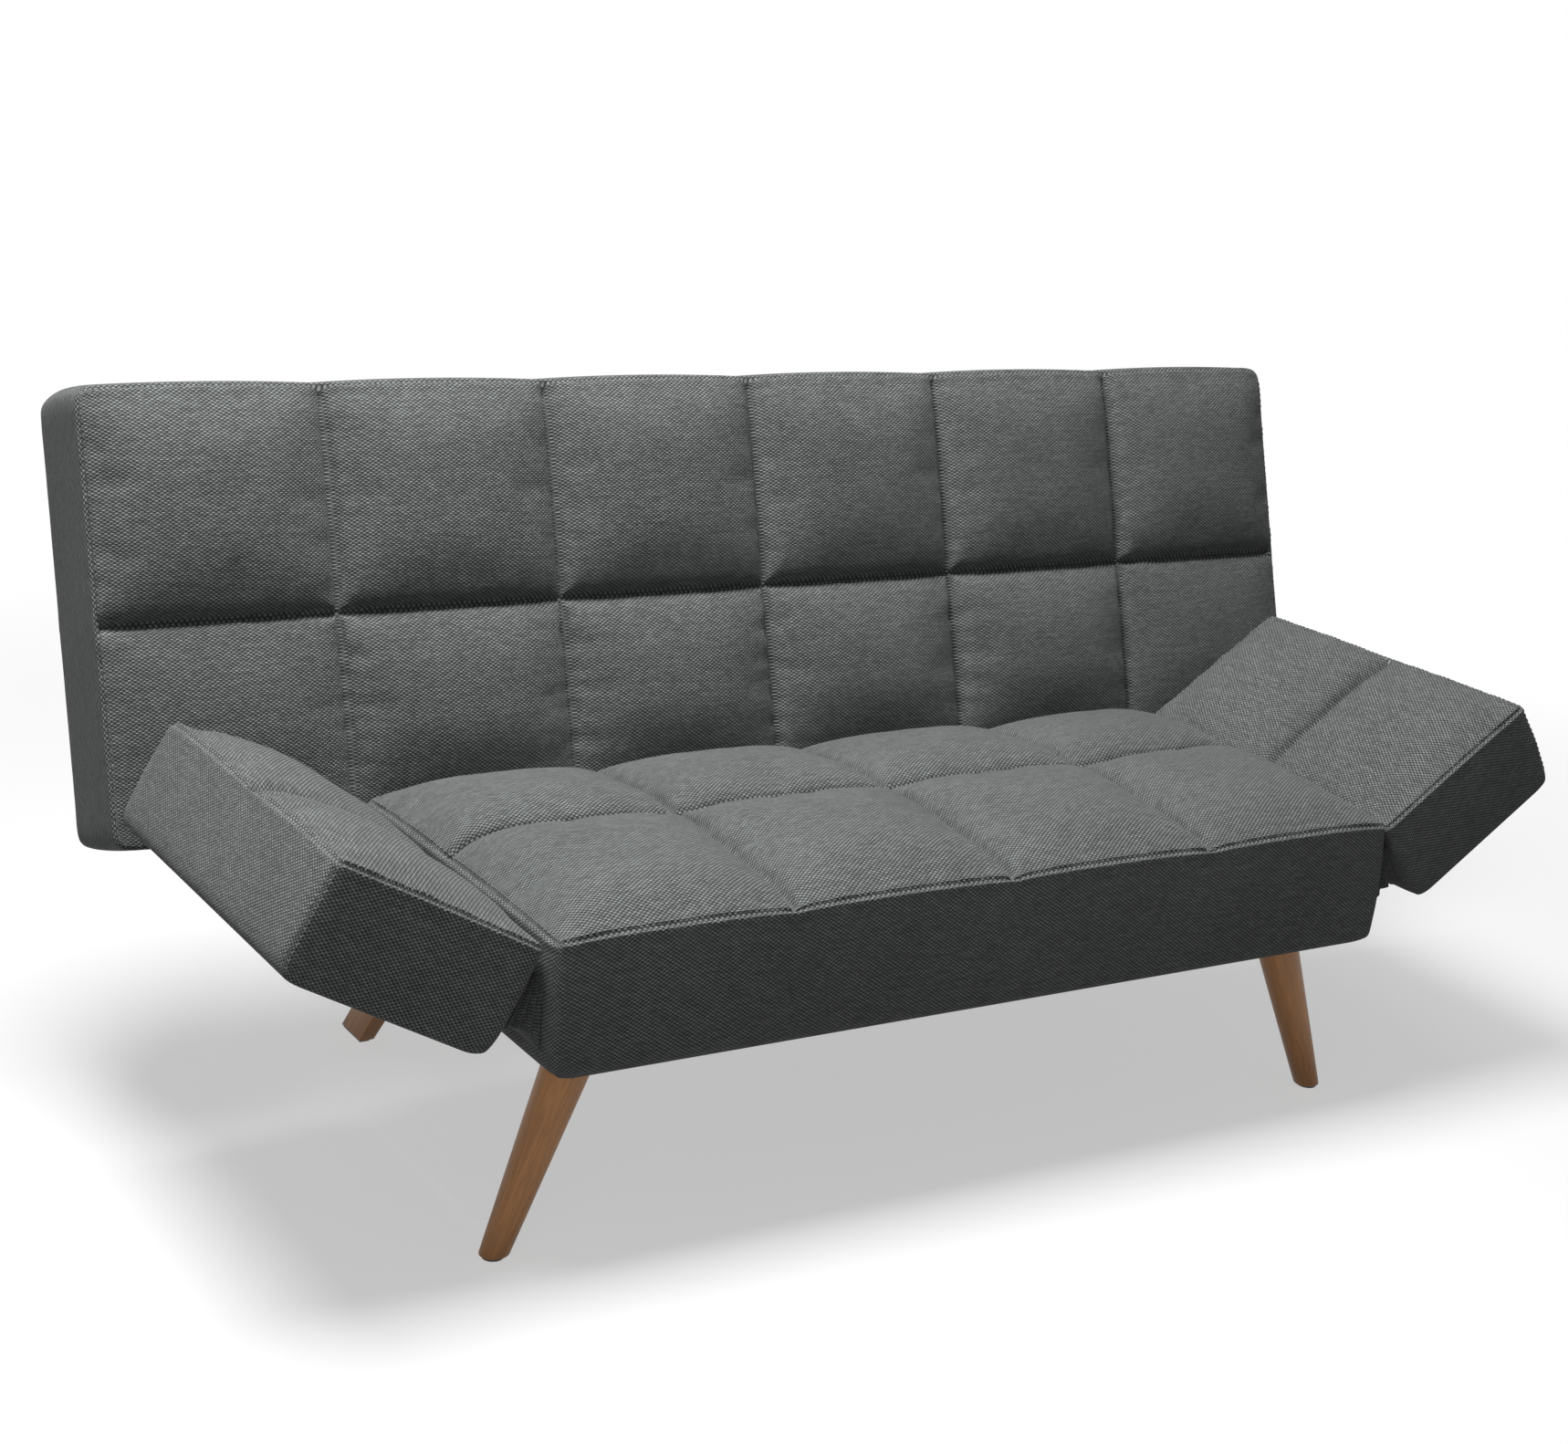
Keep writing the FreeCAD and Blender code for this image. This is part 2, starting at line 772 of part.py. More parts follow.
def build_springs():
    z = frame_top_z + spring_height
    start, end = spring_ends()
    springs = []
    clips = []
    for x in spring_places():
        springs.append(zigzag_spring(x, z))
        for y in (start, end):
            clip = box(
                x - clip_length / 2,
                x + clip_length / 2,
                y - clip_width / 2,
                y + clip_width / 2,
                frame_top_z,
                frame_top_z + clip_height,
            )
            groove_start = V(x - clip_length / 2 - past, y, z)
            groove = rod(spring_wire_radius + hole_gap, groove_start, V(1, 0, 0), clip_length + 2 * past)
            clips.append(clip.cut(groove))
    save("seat_springs", springs)
    save("seat_spring_clips", clips)
    felt = box(
        -rail_inner_x,
        rail_inner_x,
        frame_front_y,
        frame_rear_y,
        felt_low_z,
        felt_top_z,
    )
    save("seat_felt_pad", [felt])


# Seat cushion, cover and dust cloth
def seat_leaf_slots():
    """Room round the seat leaves of the arm hinges, right side."""
    slots = []
    for y in arm_hinge_stations():
        slots.append(
            box(
                arm_hinge_x - leaf_strap_setback - leaf_strap_width - slot_gap,
                half_seat + past,
                y - slot_gap,
                y + leaf_thickness + slot_gap,
                frame_top_z,
                arm_hinge_z + leaf_strap_half_width + slot_gap,
            )
        )
    return slots


def seat_plate_slots():
    """Room round the toothed plate of the click clack hinge, right side."""
    low = box(
        plate_x - slot_gap,
        half_seat - cover_thickness - cover_gap / 2,
        back_hinge_y - seat_plate_first_bolt - seat_plate_end_margin - past,
        seat_rear_y - cover_thickness,
        frame_bottom_z,
        frame_top_z,
    )
    high = box(
        plate_x - slot_gap,
        plate_x + hinge_plate_thickness + slot_gap,
        back_hinge_y - seat_plate_first_bolt - seat_plate_end_margin - past,
        seat_rear_y + past,
        frame_top_z - past,
        back_hinge_z + hinge_neck_half_height + slot_gap,
    )
    return [low, high]


def build_seat_cushion():
    foam = seat_form(cover_thickness + cover_gap)
    room = box(
        -frame_half_width - cover_gap,
        frame_half_width + cover_gap,
        frame_front_y - cover_gap,
        frame_rear_y + cover_gap,
        0,
        felt_top_z + cover_gap,
    )
    foam = foam.cut(room)
    for slot in seat_leaf_slots() + seat_plate_slots():
        foam = foam.cut(slot).cut(mirrored(slot))
    save("seat_foam", [foam])

    opening = box(
        cover_hem - half_seat,
        half_seat - cover_hem,
        seat_front_y + cover_hem,
        seat_rear_y - cover_hem,
        seat_bottom_height - past,
        frame_bottom_z + past,
    )
    cover = seat_form(0.0).cut(seat_form(cover_thickness)).cut(opening)
    notch = box(
        bearer_x - bearer_width / 2 - slot_gap,
        bearer_x + bearer_width / 2 + slot_gap,
        0,
        seat_rear_y + past,
        seat_bottom_height - past,
        frame_bottom_z,
    )
    tools = [notch, mirrored(notch)]
    for y in arm_hinge_stations():
        slot = box(
            half_seat - cover_thickness - 2 * seat_side_bulge,
            half_seat + past,
            y - slot_gap,
            y + leaf_thickness + slot_gap,
            arm_hinge_z - leaf_strap_half_width - slot_gap,
            arm_hinge_z + leaf_strap_half_width + slot_gap,
        )
        tools.extend(both_sides(slot))
    tools.extend(both_sides(seat_plate_slots()[1]))
    save("seat_cover", [cut_all(cover, tools)])

    cloth = box(
        cover_hem + cloth_gap - half_seat,
        half_seat - cover_hem - cloth_gap,
        seat_front_y + cover_hem + cloth_gap,
        seat_rear_y - cover_hem - cloth_gap,
        frame_bottom_z - cloth_thickness,
        frame_bottom_z,
    )
    bearer_notch = box(
        bearer_x - bearer_width / 2 - slot_gap,
        bearer_x + bearer_width / 2 + slot_gap,
        bearer_front_y - slot_gap,
        seat_rear_y,
        0,
        frame_bottom_z,
    )
    half_plate = front_plate_side / 2 + slot_gap
    plate_notch = box(
        front_top_x - half_plate,
        front_top_x + half_plate,
        front_top_y - half_plate,
        front_top_y + half_plate,
        0,
        frame_bottom_z,
    )
    for notch in (bearer_notch, plate_notch):
        cloth = cloth.cut(notch).cut(mirrored(notch))
    save("seat_dust_cloth", [cloth])


# Bearers and bumpers
def build_bearers():
    beam = box(
        bearer_x - bearer_width / 2,
        bearer_x + bearer_width / 2,
        bearer_front_y,
        bearer_rear_y,
        bearer_bottom_z,
        frame_bottom_z,
    )
    step = box(
        0,
        half_seat,
        frame_rear_y,
        bearer_rear_y + past,
        bearer_rear_top_z,
        bearer_rear_top_z + bearer_height,
    )
    beam = beam.cut(step)
    screws = []
    for point in bearer_screw_points():
        beam = beam.cut(screw_hole(point, UP, screw_radius, bearer_height))
        beam = beam.cut(rod(screw_head_radius + hole_gap, V(point.x, point.y, 0), UP, point.z))
        screws.append(
            screw(
                point,
                UP,
                screw_radius,
                bearer_height / 2 + screw_length,
                screw_head_radius,
                screw_head_height,
            )
        )
    for point in rear_screw_points():
        beam = beam.cut(screw_hole(point, UP, screw_radius, screw_length))
    beam = beam.cut(leg_bolt_hole(rear_top_x, rear_top_y, rear_plate_z))
    save("base_bearer_right", [beam])
    save("base_bearer_left", [mirrored(beam)])
    save("base_bearer_screws", screws + [mirrored(s) for s in screws])

    rest_z = back_hinge_z + back_hinge_inset - back_thickness
    height = rest_z - bearer_rear_top_z - bumper_rest_gap
    centre = V(bearer_x, bearer_rear_y - bumper_from_end, bearer_rear_top_z)
    save("bed_bumpers", both_sides(rod(bumper_radius, centre, UP, height)))


# Legs
def front_leg():
    """A cone along the splayed line, cut level at the glide and under the plate."""
    line = V(-front_leg_inward, -front_leg_rearward, 1.0)
    per_mm = (front_top_radius - front_foot_radius) / front_plate_z
    low = V(front_foot_x, front_foot_y, 0) - line * slack
    length = (front_plate_z + 2 * slack) * line.Length
    cone = Part.makeCone(
        front_foot_radius - per_mm * slack,
        front_top_radius + per_mm * slack,
        length,
        low,
        line,
    )
    room = box(0, back_width, -back_width, back_width, glide_thickness, front_plate_z)
    leg = cone.common(room)
    foot_edges = [e for e in leg.Edges if e.BoundBox.ZMax < glide_thickness + hole_gap]
    leg = leg.makeFillet(foot_edge_radius, foot_edges)
    return leg.cut(leg_bolt_hole(front_top_x, front_top_y, front_plate_z))


def rectangle(x, y, z, width, depth):
    a = width / 2
    b = depth / 2
    corners = [V(x - a, y - b, z), V(x + a, y - b, z), V(x + a, y + b, z), V(x - a, y + b, z)]
    return Part.makePolygon(corners + [corners[0]])


def rear_leg():
    foot = rectangle(
        rear_foot_x - rear_leg_inward * glide_thickness,
        rear_foot_y - rear_leg_forward * glide_thickness,
        glide_thickness,
        rear_foot_width,
        rear_foot_depth,
    )
    top = rectangle(rear_top_x, rear_top_y, rear_plate_z, rear_top_width, rear_top_depth)
    leg = Part.makeLoft([foot, top], True, True)
    return leg.cut(leg_bolt_hole(rear_top_x, rear_top_y, rear_plate_z))


def build_legs():
    front = front_leg()
    rear = rear_leg()
    save("front_leg_right", [front])
    save("front_leg_left", [mirrored(front)])
    save("rear_leg_right", [rear])
    save("rear_leg_left", [mirrored(rear)])

    half = front_plate_side / 2
    front_plate = box(
        front_top_x - half,
        front_top_x + half,
        front_top_y - half,
        front_top_y + half,
        front_plate_z,
        front_plate_z + leg_plate_thickness,
    )
    rear_plate = box(
        bearer_x - bearer_width / 2,
        bearer_x + bearer_width / 2,
        rear_top_y - rear_plate_length / 2,
        rear_top_y + rear_plate_length / 2,
        rear_plate_z,
        bearer_bottom_z,
    )
    front_plate = front_plate.cut(leg_bolt_hole(front_top_x, front_top_y, front_plate_z))
    rear_plate = rear_plate.cut(leg_bolt_hole(rear_top_x, rear_top_y, rear_plate_z))
    screws = []
    for point in front_screw_points():
        front_plate = front_plate.cut(screw_hole(point, UP, screw_radius, screw_length))
    for point in rear_screw_points():
        rear_plate = rear_plate.cut(screw_hole(point, UP, screw_radius, screw_length))
    for point in front_screw_points() + rear_screw_points():
        screws.append(
            screw(point, UP, screw_radius, screw_length, screw_head_radius, screw_head_height)
        )
    save("leg_plates", both_sides(front_plate) + both_sides(rear_plate))
    save("leg_plate_screws", screws + [mirrored(s) for s in screws])
    bolts = [
        leg_bolt(front_top_x, front_top_y, front_plate_z),
        leg_bolt(rear_top_x, rear_top_y, rear_plate_z),
    ]
    save("leg_bolts", bolts + [mirrored(b) for b in bolts])

    front_glide = rod(front_foot_radius - glide_margin, V(front_foot_x, front_foot_y, 0), UP, glide_thickness)
    rear_glide = box(
        rear_foot_x - rear_foot_width / 2 + glide_margin,
        rear_foot_x + rear_foot_width / 2 - glide_margin,
        rear_foot_y - rear_foot_depth / 2 + glide_margin,
        rear_foot_y + rear_foot_depth / 2 - glide_margin,
        0,
        glide_thickness,
    )
    save("floor_glides", both_sides(front_glide) + both_sides(rear_glide))


# Click clack hinges, seat half
def build_seat_hinge_plates():
    """A toothed plate on each side rail, with a neck that reaches back to the pivot."""
    low = frame_bottom_z + seat_plate_low_margin
    y0 = back_hinge_y - seat_plate_first_bolt - seat_plate_end_margin
    y1 = y0 + seat_plate_bolt_pitch + 2 * seat_plate_end_margin
    neck = hinge_neck_half_height
    outline = [
        (y0, low),
        (y1, low),
        (back_hinge_y - seat_neck_low_reach, back_hinge_z - neck),
        (back_hinge_y, back_hinge_z - neck),
        (back_hinge_y, back_hinge_z + neck),
        (back_hinge_y - seat_neck_high_reach, back_hinge_z + neck),
        (y0, low + seat_plate_foot_height),
    ]
    plate = flat_plate(outline, lambda a, b: V(plate_x, a, b), V(hinge_plate_thickness, 0, 0))
    centre = V(plate_x, back_hinge_y, back_hinge_z)
    plate = plate.fuse(rod(hinge_disc_radius, centre, V(1, 0, 0), hinge_plate_thickness))
    for angle in notch_angles:
        a = math.radians(angle)
        place = centre + V(-past, hinge_disc_radius * math.cos(a), hinge_disc_radius * math.sin(a))
        plate = plate.cut(rod(notch_radius, place, V(1, 0, 0), hinge_plate_thickness + 2 * past))
    through = centre - V(slack, 0, 0)
    plate = plate.cut(rod(hinge_pin_radius + running_gap, through, V(1, 0, 0), 2 * slack))
    bolts = []
    for point in seat_plate_bolt_points():
        plate = plate.cut(screw_hole(point, INWARD, hinge_bolt_radius, slack))
        bolts.append(
            screw(
                point,
                INWARD,
                hinge_bolt_radius,
                hinge_plate_thickness + rail_width,
                hinge_bolt_head_radius,
                hinge_bolt_head_height,
            )
        )
    plate = plate.removeSplitter()
    save("back_hinge_seat_plate_right", [plate])
    save("back_hinge_seat_plate_left", [mirrored(plate)])
    save("back_hinge_seat_bolts", bolts + [mirrored(b) for b in bolts])

    outer = plate_x + hinge_plate_thickness + running_gap
    inner = back_plate_x - running_gap
    shank = rod(hinge_pin_radius, V(inner, back_hinge_y, back_hinge_z), V(1, 0, 0), outer - inner)
    head = rod(hinge_head_radius, V(outer, back_hinge_y, back_hinge_z), V(1, 0, 0), hinge_head_height)
    nut = rod(hinge_head_radius, V(inner, back_hinge_y, back_hinge_z), INWARD, hinge_head_height)
    pin = shank.fuse(head).fuse(nut).removeSplitter()
    save("back_hinge_pins", both_sides(pin))


# Arm hinges, seat half
def seat_leaf(y):
    x_in = arm_hinge_x - leaf_strap_setback - leaf_strap_width
    x_out = arm_hinge_x - leaf_strap_setback
    half = leaf_strap_half_width
    outline = [
        (arm_hinge_x, arm_hinge_z + half),
        (x_in, arm_hinge_z + half),
        (x_in, frame_top_z + leaf_thickness / 2),
        (x_out, frame_top_z + leaf_thickness / 2),
        (x_out, arm_hinge_z - half),
        (arm_hinge_x, arm_hinge_z - half),
    ]
    strap = flat_plate(outline, lambda a, b: V(a, y, b), V(0, leaf_thickness, 0))
    pivot = V(arm_hinge_x, y, arm_hinge_z)
    boss = rod(leaf_boss_radius, pivot, V(0, 1, 0), leaf_thickness)
    middle = y + leaf_thickness / 2
    foot = box(
        rail_inner_x + leaf_foot_inset,
        frame_half_width - leaf_foot_inset,
        middle - leaf_foot_length / 2,
        middle + leaf_foot_length / 2,
        frame_top_z,
        frame_top_z + leaf_thickness,
    )
    hole = rod(leaf_pin_radius + running_gap, pivot - V(0, slack, 0), V(0, 1, 0), 2 * slack)
    return strap.fuse(boss).fuse(foot).cut(hole)


def arm_hinge_pin(y):
    """A rivet through both leaves, headed at each end."""
    start = y - running_gap
    end = y + 2 * leaf_thickness + leaf_gap + running_gap
    along = V(0, 1, 0)
    shank = rod(leaf_pin_radius, V(arm_hinge_x, start, arm_hinge_z), along, end - start)
    near = rod(
        leaf_pin_head_radius,
        V(arm_hinge_x, start - leaf_pin_head_height, arm_hinge_z),
        along,
        leaf_pin_head_height,
    )
    far = rod(leaf_pin_head_radius, V(arm_hinge_x, end, arm_hinge_z), along, leaf_pin_head_height)
    return shank.fuse(near).fuse(far).removeSplitter()


def build_arm_hinges_on_seat():
    leaves = [seat_leaf(y) for y in arm_hinge_stations()]
    points = leaf_foot_screw_points()
    for point in points:
        hole = screw_hole(point, V(0, 0, -1), screw_radius, screw_length)
        leaves = [leaf.cut(hole) for leaf in leaves]
    screws = [
        screw(p, V(0, 0, -1), screw_radius, screw_length, screw_head_radius, screw_head_height)
        for p in points
    ]
    pins = [arm_hinge_pin(y) for y in arm_hinge_stations()]
    save("arm_hinge_seat_leaves_right", leaves)
    save("arm_hinge_seat_leaves_left", [mirrored(leaf) for leaf in leaves])
    save("arm_hinge_seat_screws", screws + [mirrored(s) for s in screws])
    save("arm_hinge_pins", pins + [mirrored(p) for p in pins])


# Back frame, about the hinge
def upright_places():
    """Low x of the hinge upright and of the end upright on the right side."""
    return [back_plate_x - upright_width, back_frame_half_width - upright_width]


def back_plate_bolt_points():
    """Head points of the bolts through the back plate into its upright."""
    t = back_frame_front + back_frame_depth / 2
    x = back_plate_x + hinge_plate_thickness
    return [V(x, t, s) for s in [back_plate_height - drop for drop in back_bolt_drops]]


def back_frame_screw_points():
    """Head points of the screws up and down into the ends of the uprights."""
    t = back_frame_front + back_frame_depth / 2
    points = []
    for x in upright_places():
        points.append((V(x + upright_width / 2, t, back_frame_bottom + screw_head_height), UP))
        points.append((V(x + upright_width / 2, t, back_frame_top - screw_head_height), V(0, 0, -1)))
    return points


def build_back_frame():
    half = back_frame_half_width
    front = back_frame_front
    rear = back_frame_rear
    low = back_frame_bottom + back_rail_height
    high = back_frame_top - back_rail_height
    bottom_rail = box(-half, half, front, rear, back_frame_bottom, low)
    top_rail = box(-half, half, front, rear, high, back_frame_top)
    uprights = [box(x, x + upright_width, front, rear, low, high) for x in upright_places()]
    for point, along in back_frame_screw_points():
        hole = screw_hole(point, along, screw_radius, rail_screw_length + screw_length)
        pocket = rod(screw_head_radius + hole_gap, point, along * -1, slack)
        bottom_rail = cut_all(bottom_rail, both_sides(hole) + both_sides(pocket))
        top_rail = cut_all(top_rail, both_sides(hole) + both_sides(pocket))
        uprights = [upright.cut(hole) for upright in uprights]
    for point in back_plate_bolt_points():
        hole = screw_hole(point, INWARD, hinge_bolt_radius, slack)
        uprights[0] = uprights[0].cut(hole)
        bottom_rail = cut_all(bottom_rail, both_sides(hole))
    room = back_plate_room()
    bottom_rail = cut_all(bottom_rail, both_sides(room))
    screws = [
        screw(p, d, screw_radius, rail_screw_length + screw_length, screw_head_radius, screw_head_height)
        for p, d in back_frame_screw_points()
    ]
    save("back_bottom_rail", [place_back(bottom_rail)])
    save("back_top_rail", [place_back(top_rail)])
    save("back_uprights_right", [place_back(u) for u in uprights])
    save("back_uprights_left", [place_back(mirrored(u)) for u in uprights])
    save("back_frame_screws", [place_back(s) for s in screws + [mirrored(s) for s in screws]])

    straps = []
    for k in range(strap_count):
        x = back_strap_pitch * (k - (strap_count - 1) / 2)
        straps.append(
            box(
                x - strap_width / 2,
                x + strap_width / 2,
                front - strap_thickness,
                front,
                back_frame_bottom + strap_end_margin,
                back_frame_top - strap_end_margin,
            )
        )
    save("back_webbing", [place_back(s) for s in straps])


def back_plate_room():
    """Room in the bottom rail and the foam for the back plate and its bolt heads."""
    return box(
        back_plate_x - cover_gap,
        plate_x + hinge_plate_thickness + hinge_head_height,
        cover_thickness + cover_gap + past - back_hinge_inset,
        back_frame_rear - back_plate_margin + past,
        cover_thickness + cover_gap + past - back_hinge_inset,
        back_plate_height + past,
    )


def hinge_pocket():
    """Round pocket about the hinge, wide enough for both plates and the pivot's ends."""
    start = back_plate_x - hinge_head_height - past
    end = plate_x + hinge_plate_thickness + hinge_head_height + past
    return rod(back_corner_sweep + hinge_pocket_clearance, V(start, 0, 0), V(1, 0, 0), end - start)


def build_back_cushion():
    foam = back_form(cover_thickness + cover_gap)
    room = box(
        -back_frame_half_width - cover_gap,
        back_frame_half_width + cover_gap,
        back_frame_front - strap_thickness - cover_gap,
        back_rear + past,
        back_frame_bottom - cover_gap,
        back_frame_top + cover_gap,
    )
    foam = foam.cut(room)
    tools = both_sides(hinge_pocket()) + both_sides(back_plate_room())
    foam = cut_all(foam, tools)
    save("back_foam", [place_back(foam)])

    opening = box(
        back_frame_border + cover_hem - half_back,
        half_back - back_frame_border - cover_hem,
        back_rear - cover_thickness - past,
        back_rear + past,
        back_frame_bottom + cover_hem,
        back_frame_top - cover_hem,
    )
    cover = back_form(0.0).cut(back_form(cover_thickness)).cut(opening)
    cover = cut_all(cover, both_sides(hinge_pocket()))
    save("back_cover", [place_back(cover)])
    cloth = box(
        back_frame_border + cover_hem + cloth_gap - half_back,
        half_back - back_frame_border - cover_hem - cloth_gap,
        back_frame_rear + cover_gap,
        back_frame_rear + cover_gap + cloth_thickness,
        back_frame_bottom + cover_hem + cloth_gap,
        back_frame_top - cover_hem - cloth_gap,
    )
    save("back_rear_cloth", [place_back(cloth)])


# Click clack hinges, back half
def build_back_hinge_plates():
    """A plate on the outer face of the hinge upright that reaches forward to the pivot."""
    outline = [
        (0.0, back_plate_waist - hinge_disc_radius),
        (back_frame_rear - back_plate_margin, back_frame_bottom + back_plate_margin),
        (back_frame_rear - back_plate_margin, back_plate_height),
        (back_frame_front + back_plate_margin, back_plate_height),
        (0.0, hinge_disc_radius - back_plate_waist),
    ]
    plate = flat_plate(outline, lambda a, b: V(back_plate_x, a, b), V(hinge_plate_thickness, 0, 0))
    plate = plate.fuse(rod(hinge_disc_radius, V(back_plate_x, 0, 0), V(1, 0, 0), hinge_plate_thickness))
    plate = plate.cut(rod(hinge_pin_radius + running_gap, V(0, 0, 0), V(1, 0, 0), half_back))
    bolts = []
    for point in back_plate_bolt_points():
        plate = plate.cut(screw_hole(point, INWARD, hinge_bolt_radius, slack))
        bolts.append(
            screw(
                point,
                INWARD,
                hinge_bolt_radius,
                hinge_plate_thickness + upright_width,
                hinge_bolt_head_radius,
                hinge_bolt_head_height,
            )
        )
    diagonal = math.sqrt(0.5)
    pivot = V(back_plate_x + hinge_plate_thickness, pawl_distance * diagonal, pawl_distance * diagonal)
    thickness = plate_x + hinge_plate_thickness - pivot.x
    pawl = rod(pawl_boss_radius, pivot, V(1, 0, 0), thickness)
    nose = hinge_disc_radius + pawl_lift
    across = V(0, -diagonal, diagonal)
    toward = V(0, diagonal, diagonal)
    base = V(pivot.x, 0, 0)
    corners = [
        base + toward * nose + across * pawl_nose_half_width,
        base + toward * nose - across * pawl_nose_half_width,
        base + toward * pawl_distance - across * pawl_waist_half_width,
        base + toward * pawl_distance + across * pawl_waist_half_width,
    ]
    finger = Part.Face(Part.makePolygon(corners + [corners[0]])).extrude(V(thickness, 0, 0))
    pawl = pawl.fuse(finger).removeSplitter()
    disc = rod(nose, V(0, 0, 0), V(1, 0, 0), half_back)
    pawl = pawl.cut(disc)
    rivet_start = V(back_plate_x, pivot.y, pivot.z)
    rivet = rod(pawl_rivet_radius, rivet_start, V(1, 0, 0), hinge_plate_thickness + thickness)
    rivet_hole = rod(pawl_rivet_radius + hole_gap, V(0, pivot.y, pivot.z), V(1, 0, 0), half_back)
    plate = plate.cut(rivet_hole).removeSplitter()
    pawl = pawl.cut(rivet_hole)
    save("back_hinge_back_plate_right", [place_back(plate)])
    save("back_hinge_back_plate_left", [place_back(mirrored(plate))])
    save("back_hinge_pawls", [place_back(p) for p in both_sides(pawl)])
    fixings = bolts + [rivet]
    save("back_hinge_back_bolts", [place_back(b) for b in fixings + [mirrored(b) for b in fixings]])


# Arms, about the hinge and lying flat
def arm_leaf_screw_points(y):
    z = arm_board_top + leaf_thickness
    middle = y + leaf_thickness * 1.5 + leaf_gap
    x = arm_board_inner + arm_leaf_reach / 2
    return [V(x, middle + out * leaf_foot_length / 3, z) for out in (-1, 1)]


def arm_leaf(y):
    """A strap from the pivot down to a foot that is screwed on the arm board."""
    low = arm_board_top + leaf_thickness / 2
    start = y + leaf_thickness + leaf_gap
    outline = [
        (-leaf_boss_radius, 0.0),
        (leaf_boss_radius, 0.0),
        (leaf_boss_radius + arm_leaf_knee, low / 2),
        (arm_board_inner + arm_leaf_reach - arm_leaf_toe, low),
        (arm_board_inner, low),
        (-leaf_boss_radius, low / 2),
    ]
    strap = flat_plate(outline, lambda a, b: V(a, start, b), V(0, leaf_thickness, 0))
    boss = rod(leaf_boss_radius, V(0, start, 0), V(0, 1, 0), leaf_thickness)
    middle = start + leaf_thickness / 2
    foot = box(
        arm_board_inner,
        arm_board_inner + arm_leaf_reach,
        middle - leaf_foot_length / 2,
        middle + leaf_foot_length / 2,
        arm_board_top,
        arm_board_top + leaf_thickness,
    )
    hole = rod(leaf_pin_radius + running_gap, V(0, start - slack, 0), V(0, 1, 0), 2 * slack)
    leaf = strap.fuse(boss).fuse(foot).cut(hole)
    for point in arm_leaf_screw_points(y):
        leaf = leaf.cut(screw_hole(point, V(0, 0, -1), screw_radius, screw_length))
    return leaf


def arm_hinge_room(y):
    """Room in the arm for the pivot, for the seat leaf's sweep and for the arm leaf."""
    end = y + 2 * leaf_thickness + leaf_gap
    head = leaf_pin_head_height + pivot_room_clearance
    pivot_room = rod(
        leaf_boss_radius + pivot_room_clearance,
        V(0, y - head, 0),
        V(0, 1, 0),
        end - y + 2 * head,
    )
    sweep = rod(
        arm_corner_sweep + leaf_sweep_clearance,
        V(0, y - slot_gap, 0),
        V(0, 1, 0),
        leaf_thickness + 2 * slot_gap,
    )
    strap = box(
        -leaf_boss_radius - slot_gap,
        arm_board_inner + arm_leaf_reach,
        y + leaf_thickness + leaf_gap - slot_gap,
        end + slot_gap,
        arm_board_top,
        0.0,
    )
    middle = y + leaf_thickness * 1.5 + leaf_gap
    foot = box(
        arm_board_inner - slot_gap,
        arm_board_inner + arm_leaf_reach + slot_gap,
        middle - leaf_foot_length / 2 - slot_gap,
        middle + leaf_foot_length / 2 + slot_gap,
        arm_board_top,
        arm_board_top + leaf_thickness + screw_head_height + slot_gap,
    )
    return sweep, [pivot_room, sweep, strap, foot]


def build_arm_parts():
    """The pieces of the right arm by name, before they are turned or mirrored."""
    stations = arm_hinge_stations()
    board_front = arm_front_y + arm_board_end_margin
    board_rear = arm_front_y + arm_depth - arm_board_end_margin
    board_low = arm_bottom + cover_thickness + cover_gap
    board = box(
        arm_board_inner, arm_board_outer, board_front, board_rear, board_low, arm_board_top
    )
    screws = []
    for y in stations:
        for point in arm_leaf_screw_points(y):
            board = board.cut(screw_hole(point, V(0, 0, -1), screw_radius, screw_length))
            screws.append(
                screw(
                    point,
                    V(0, 0, -1),
                    screw_radius,
                    screw_length,
                    screw_head_radius,
                    screw_head_height,
                )
            )
    foam = arm_form(cover_thickness + cover_gap)
    foam = foam.cut(
        box(
            arm_board_inner - cover_gap,
            arm_board_outer + cover_gap,
            board_front - cover_gap,
            board_rear + cover_gap,
            arm_bottom - past,
            arm_board_top + cover_gap,
        )
    )
    opening = box(
        arm_board_inner + cover_hem,
        arm_board_outer - cover_hem,
        board_front + cover_hem,
        board_rear - cover_hem,
        arm_bottom - past,
        arm_bottom + cover_thickness + past,
    )
    cover = arm_form(0.0).cut(arm_form(cover_thickness)).cut(opening)
    for y in stations:
        sweep, rooms = arm_hinge_room(y)
        foam = cut_all(foam, rooms)
        cover = cover.cut(sweep)
    cloth = box(
        arm_board_inner + cover_hem + cloth_gap,
        arm_board_outer - cover_hem - cloth_gap,
        board_front + cover_hem + cloth_gap,
        board_rear - cover_hem - cloth_gap,
        arm_bottom + cover_thickness - cloth_thickness,
        arm_bottom + cover_thickness,
    )
    return {
        "arm_board": [board],
        "arm_foam": [foam],
        "arm_cover": [cover],
        "arm_base_cloth": [cloth],
        "arm_hinge_arm_leaves": [arm_leaf(y) for y in stations],
        "arm_hinge_arm_screws": screws,
    }


def build_arms():
    for name, solids in build_arm_parts().items():
        save(name + "_right", [place_arm(s, arm_angle_right) for s in solids])
        save(name + "_left", [mirrored(place_arm(s, arm_angle_left)) for s in solids])


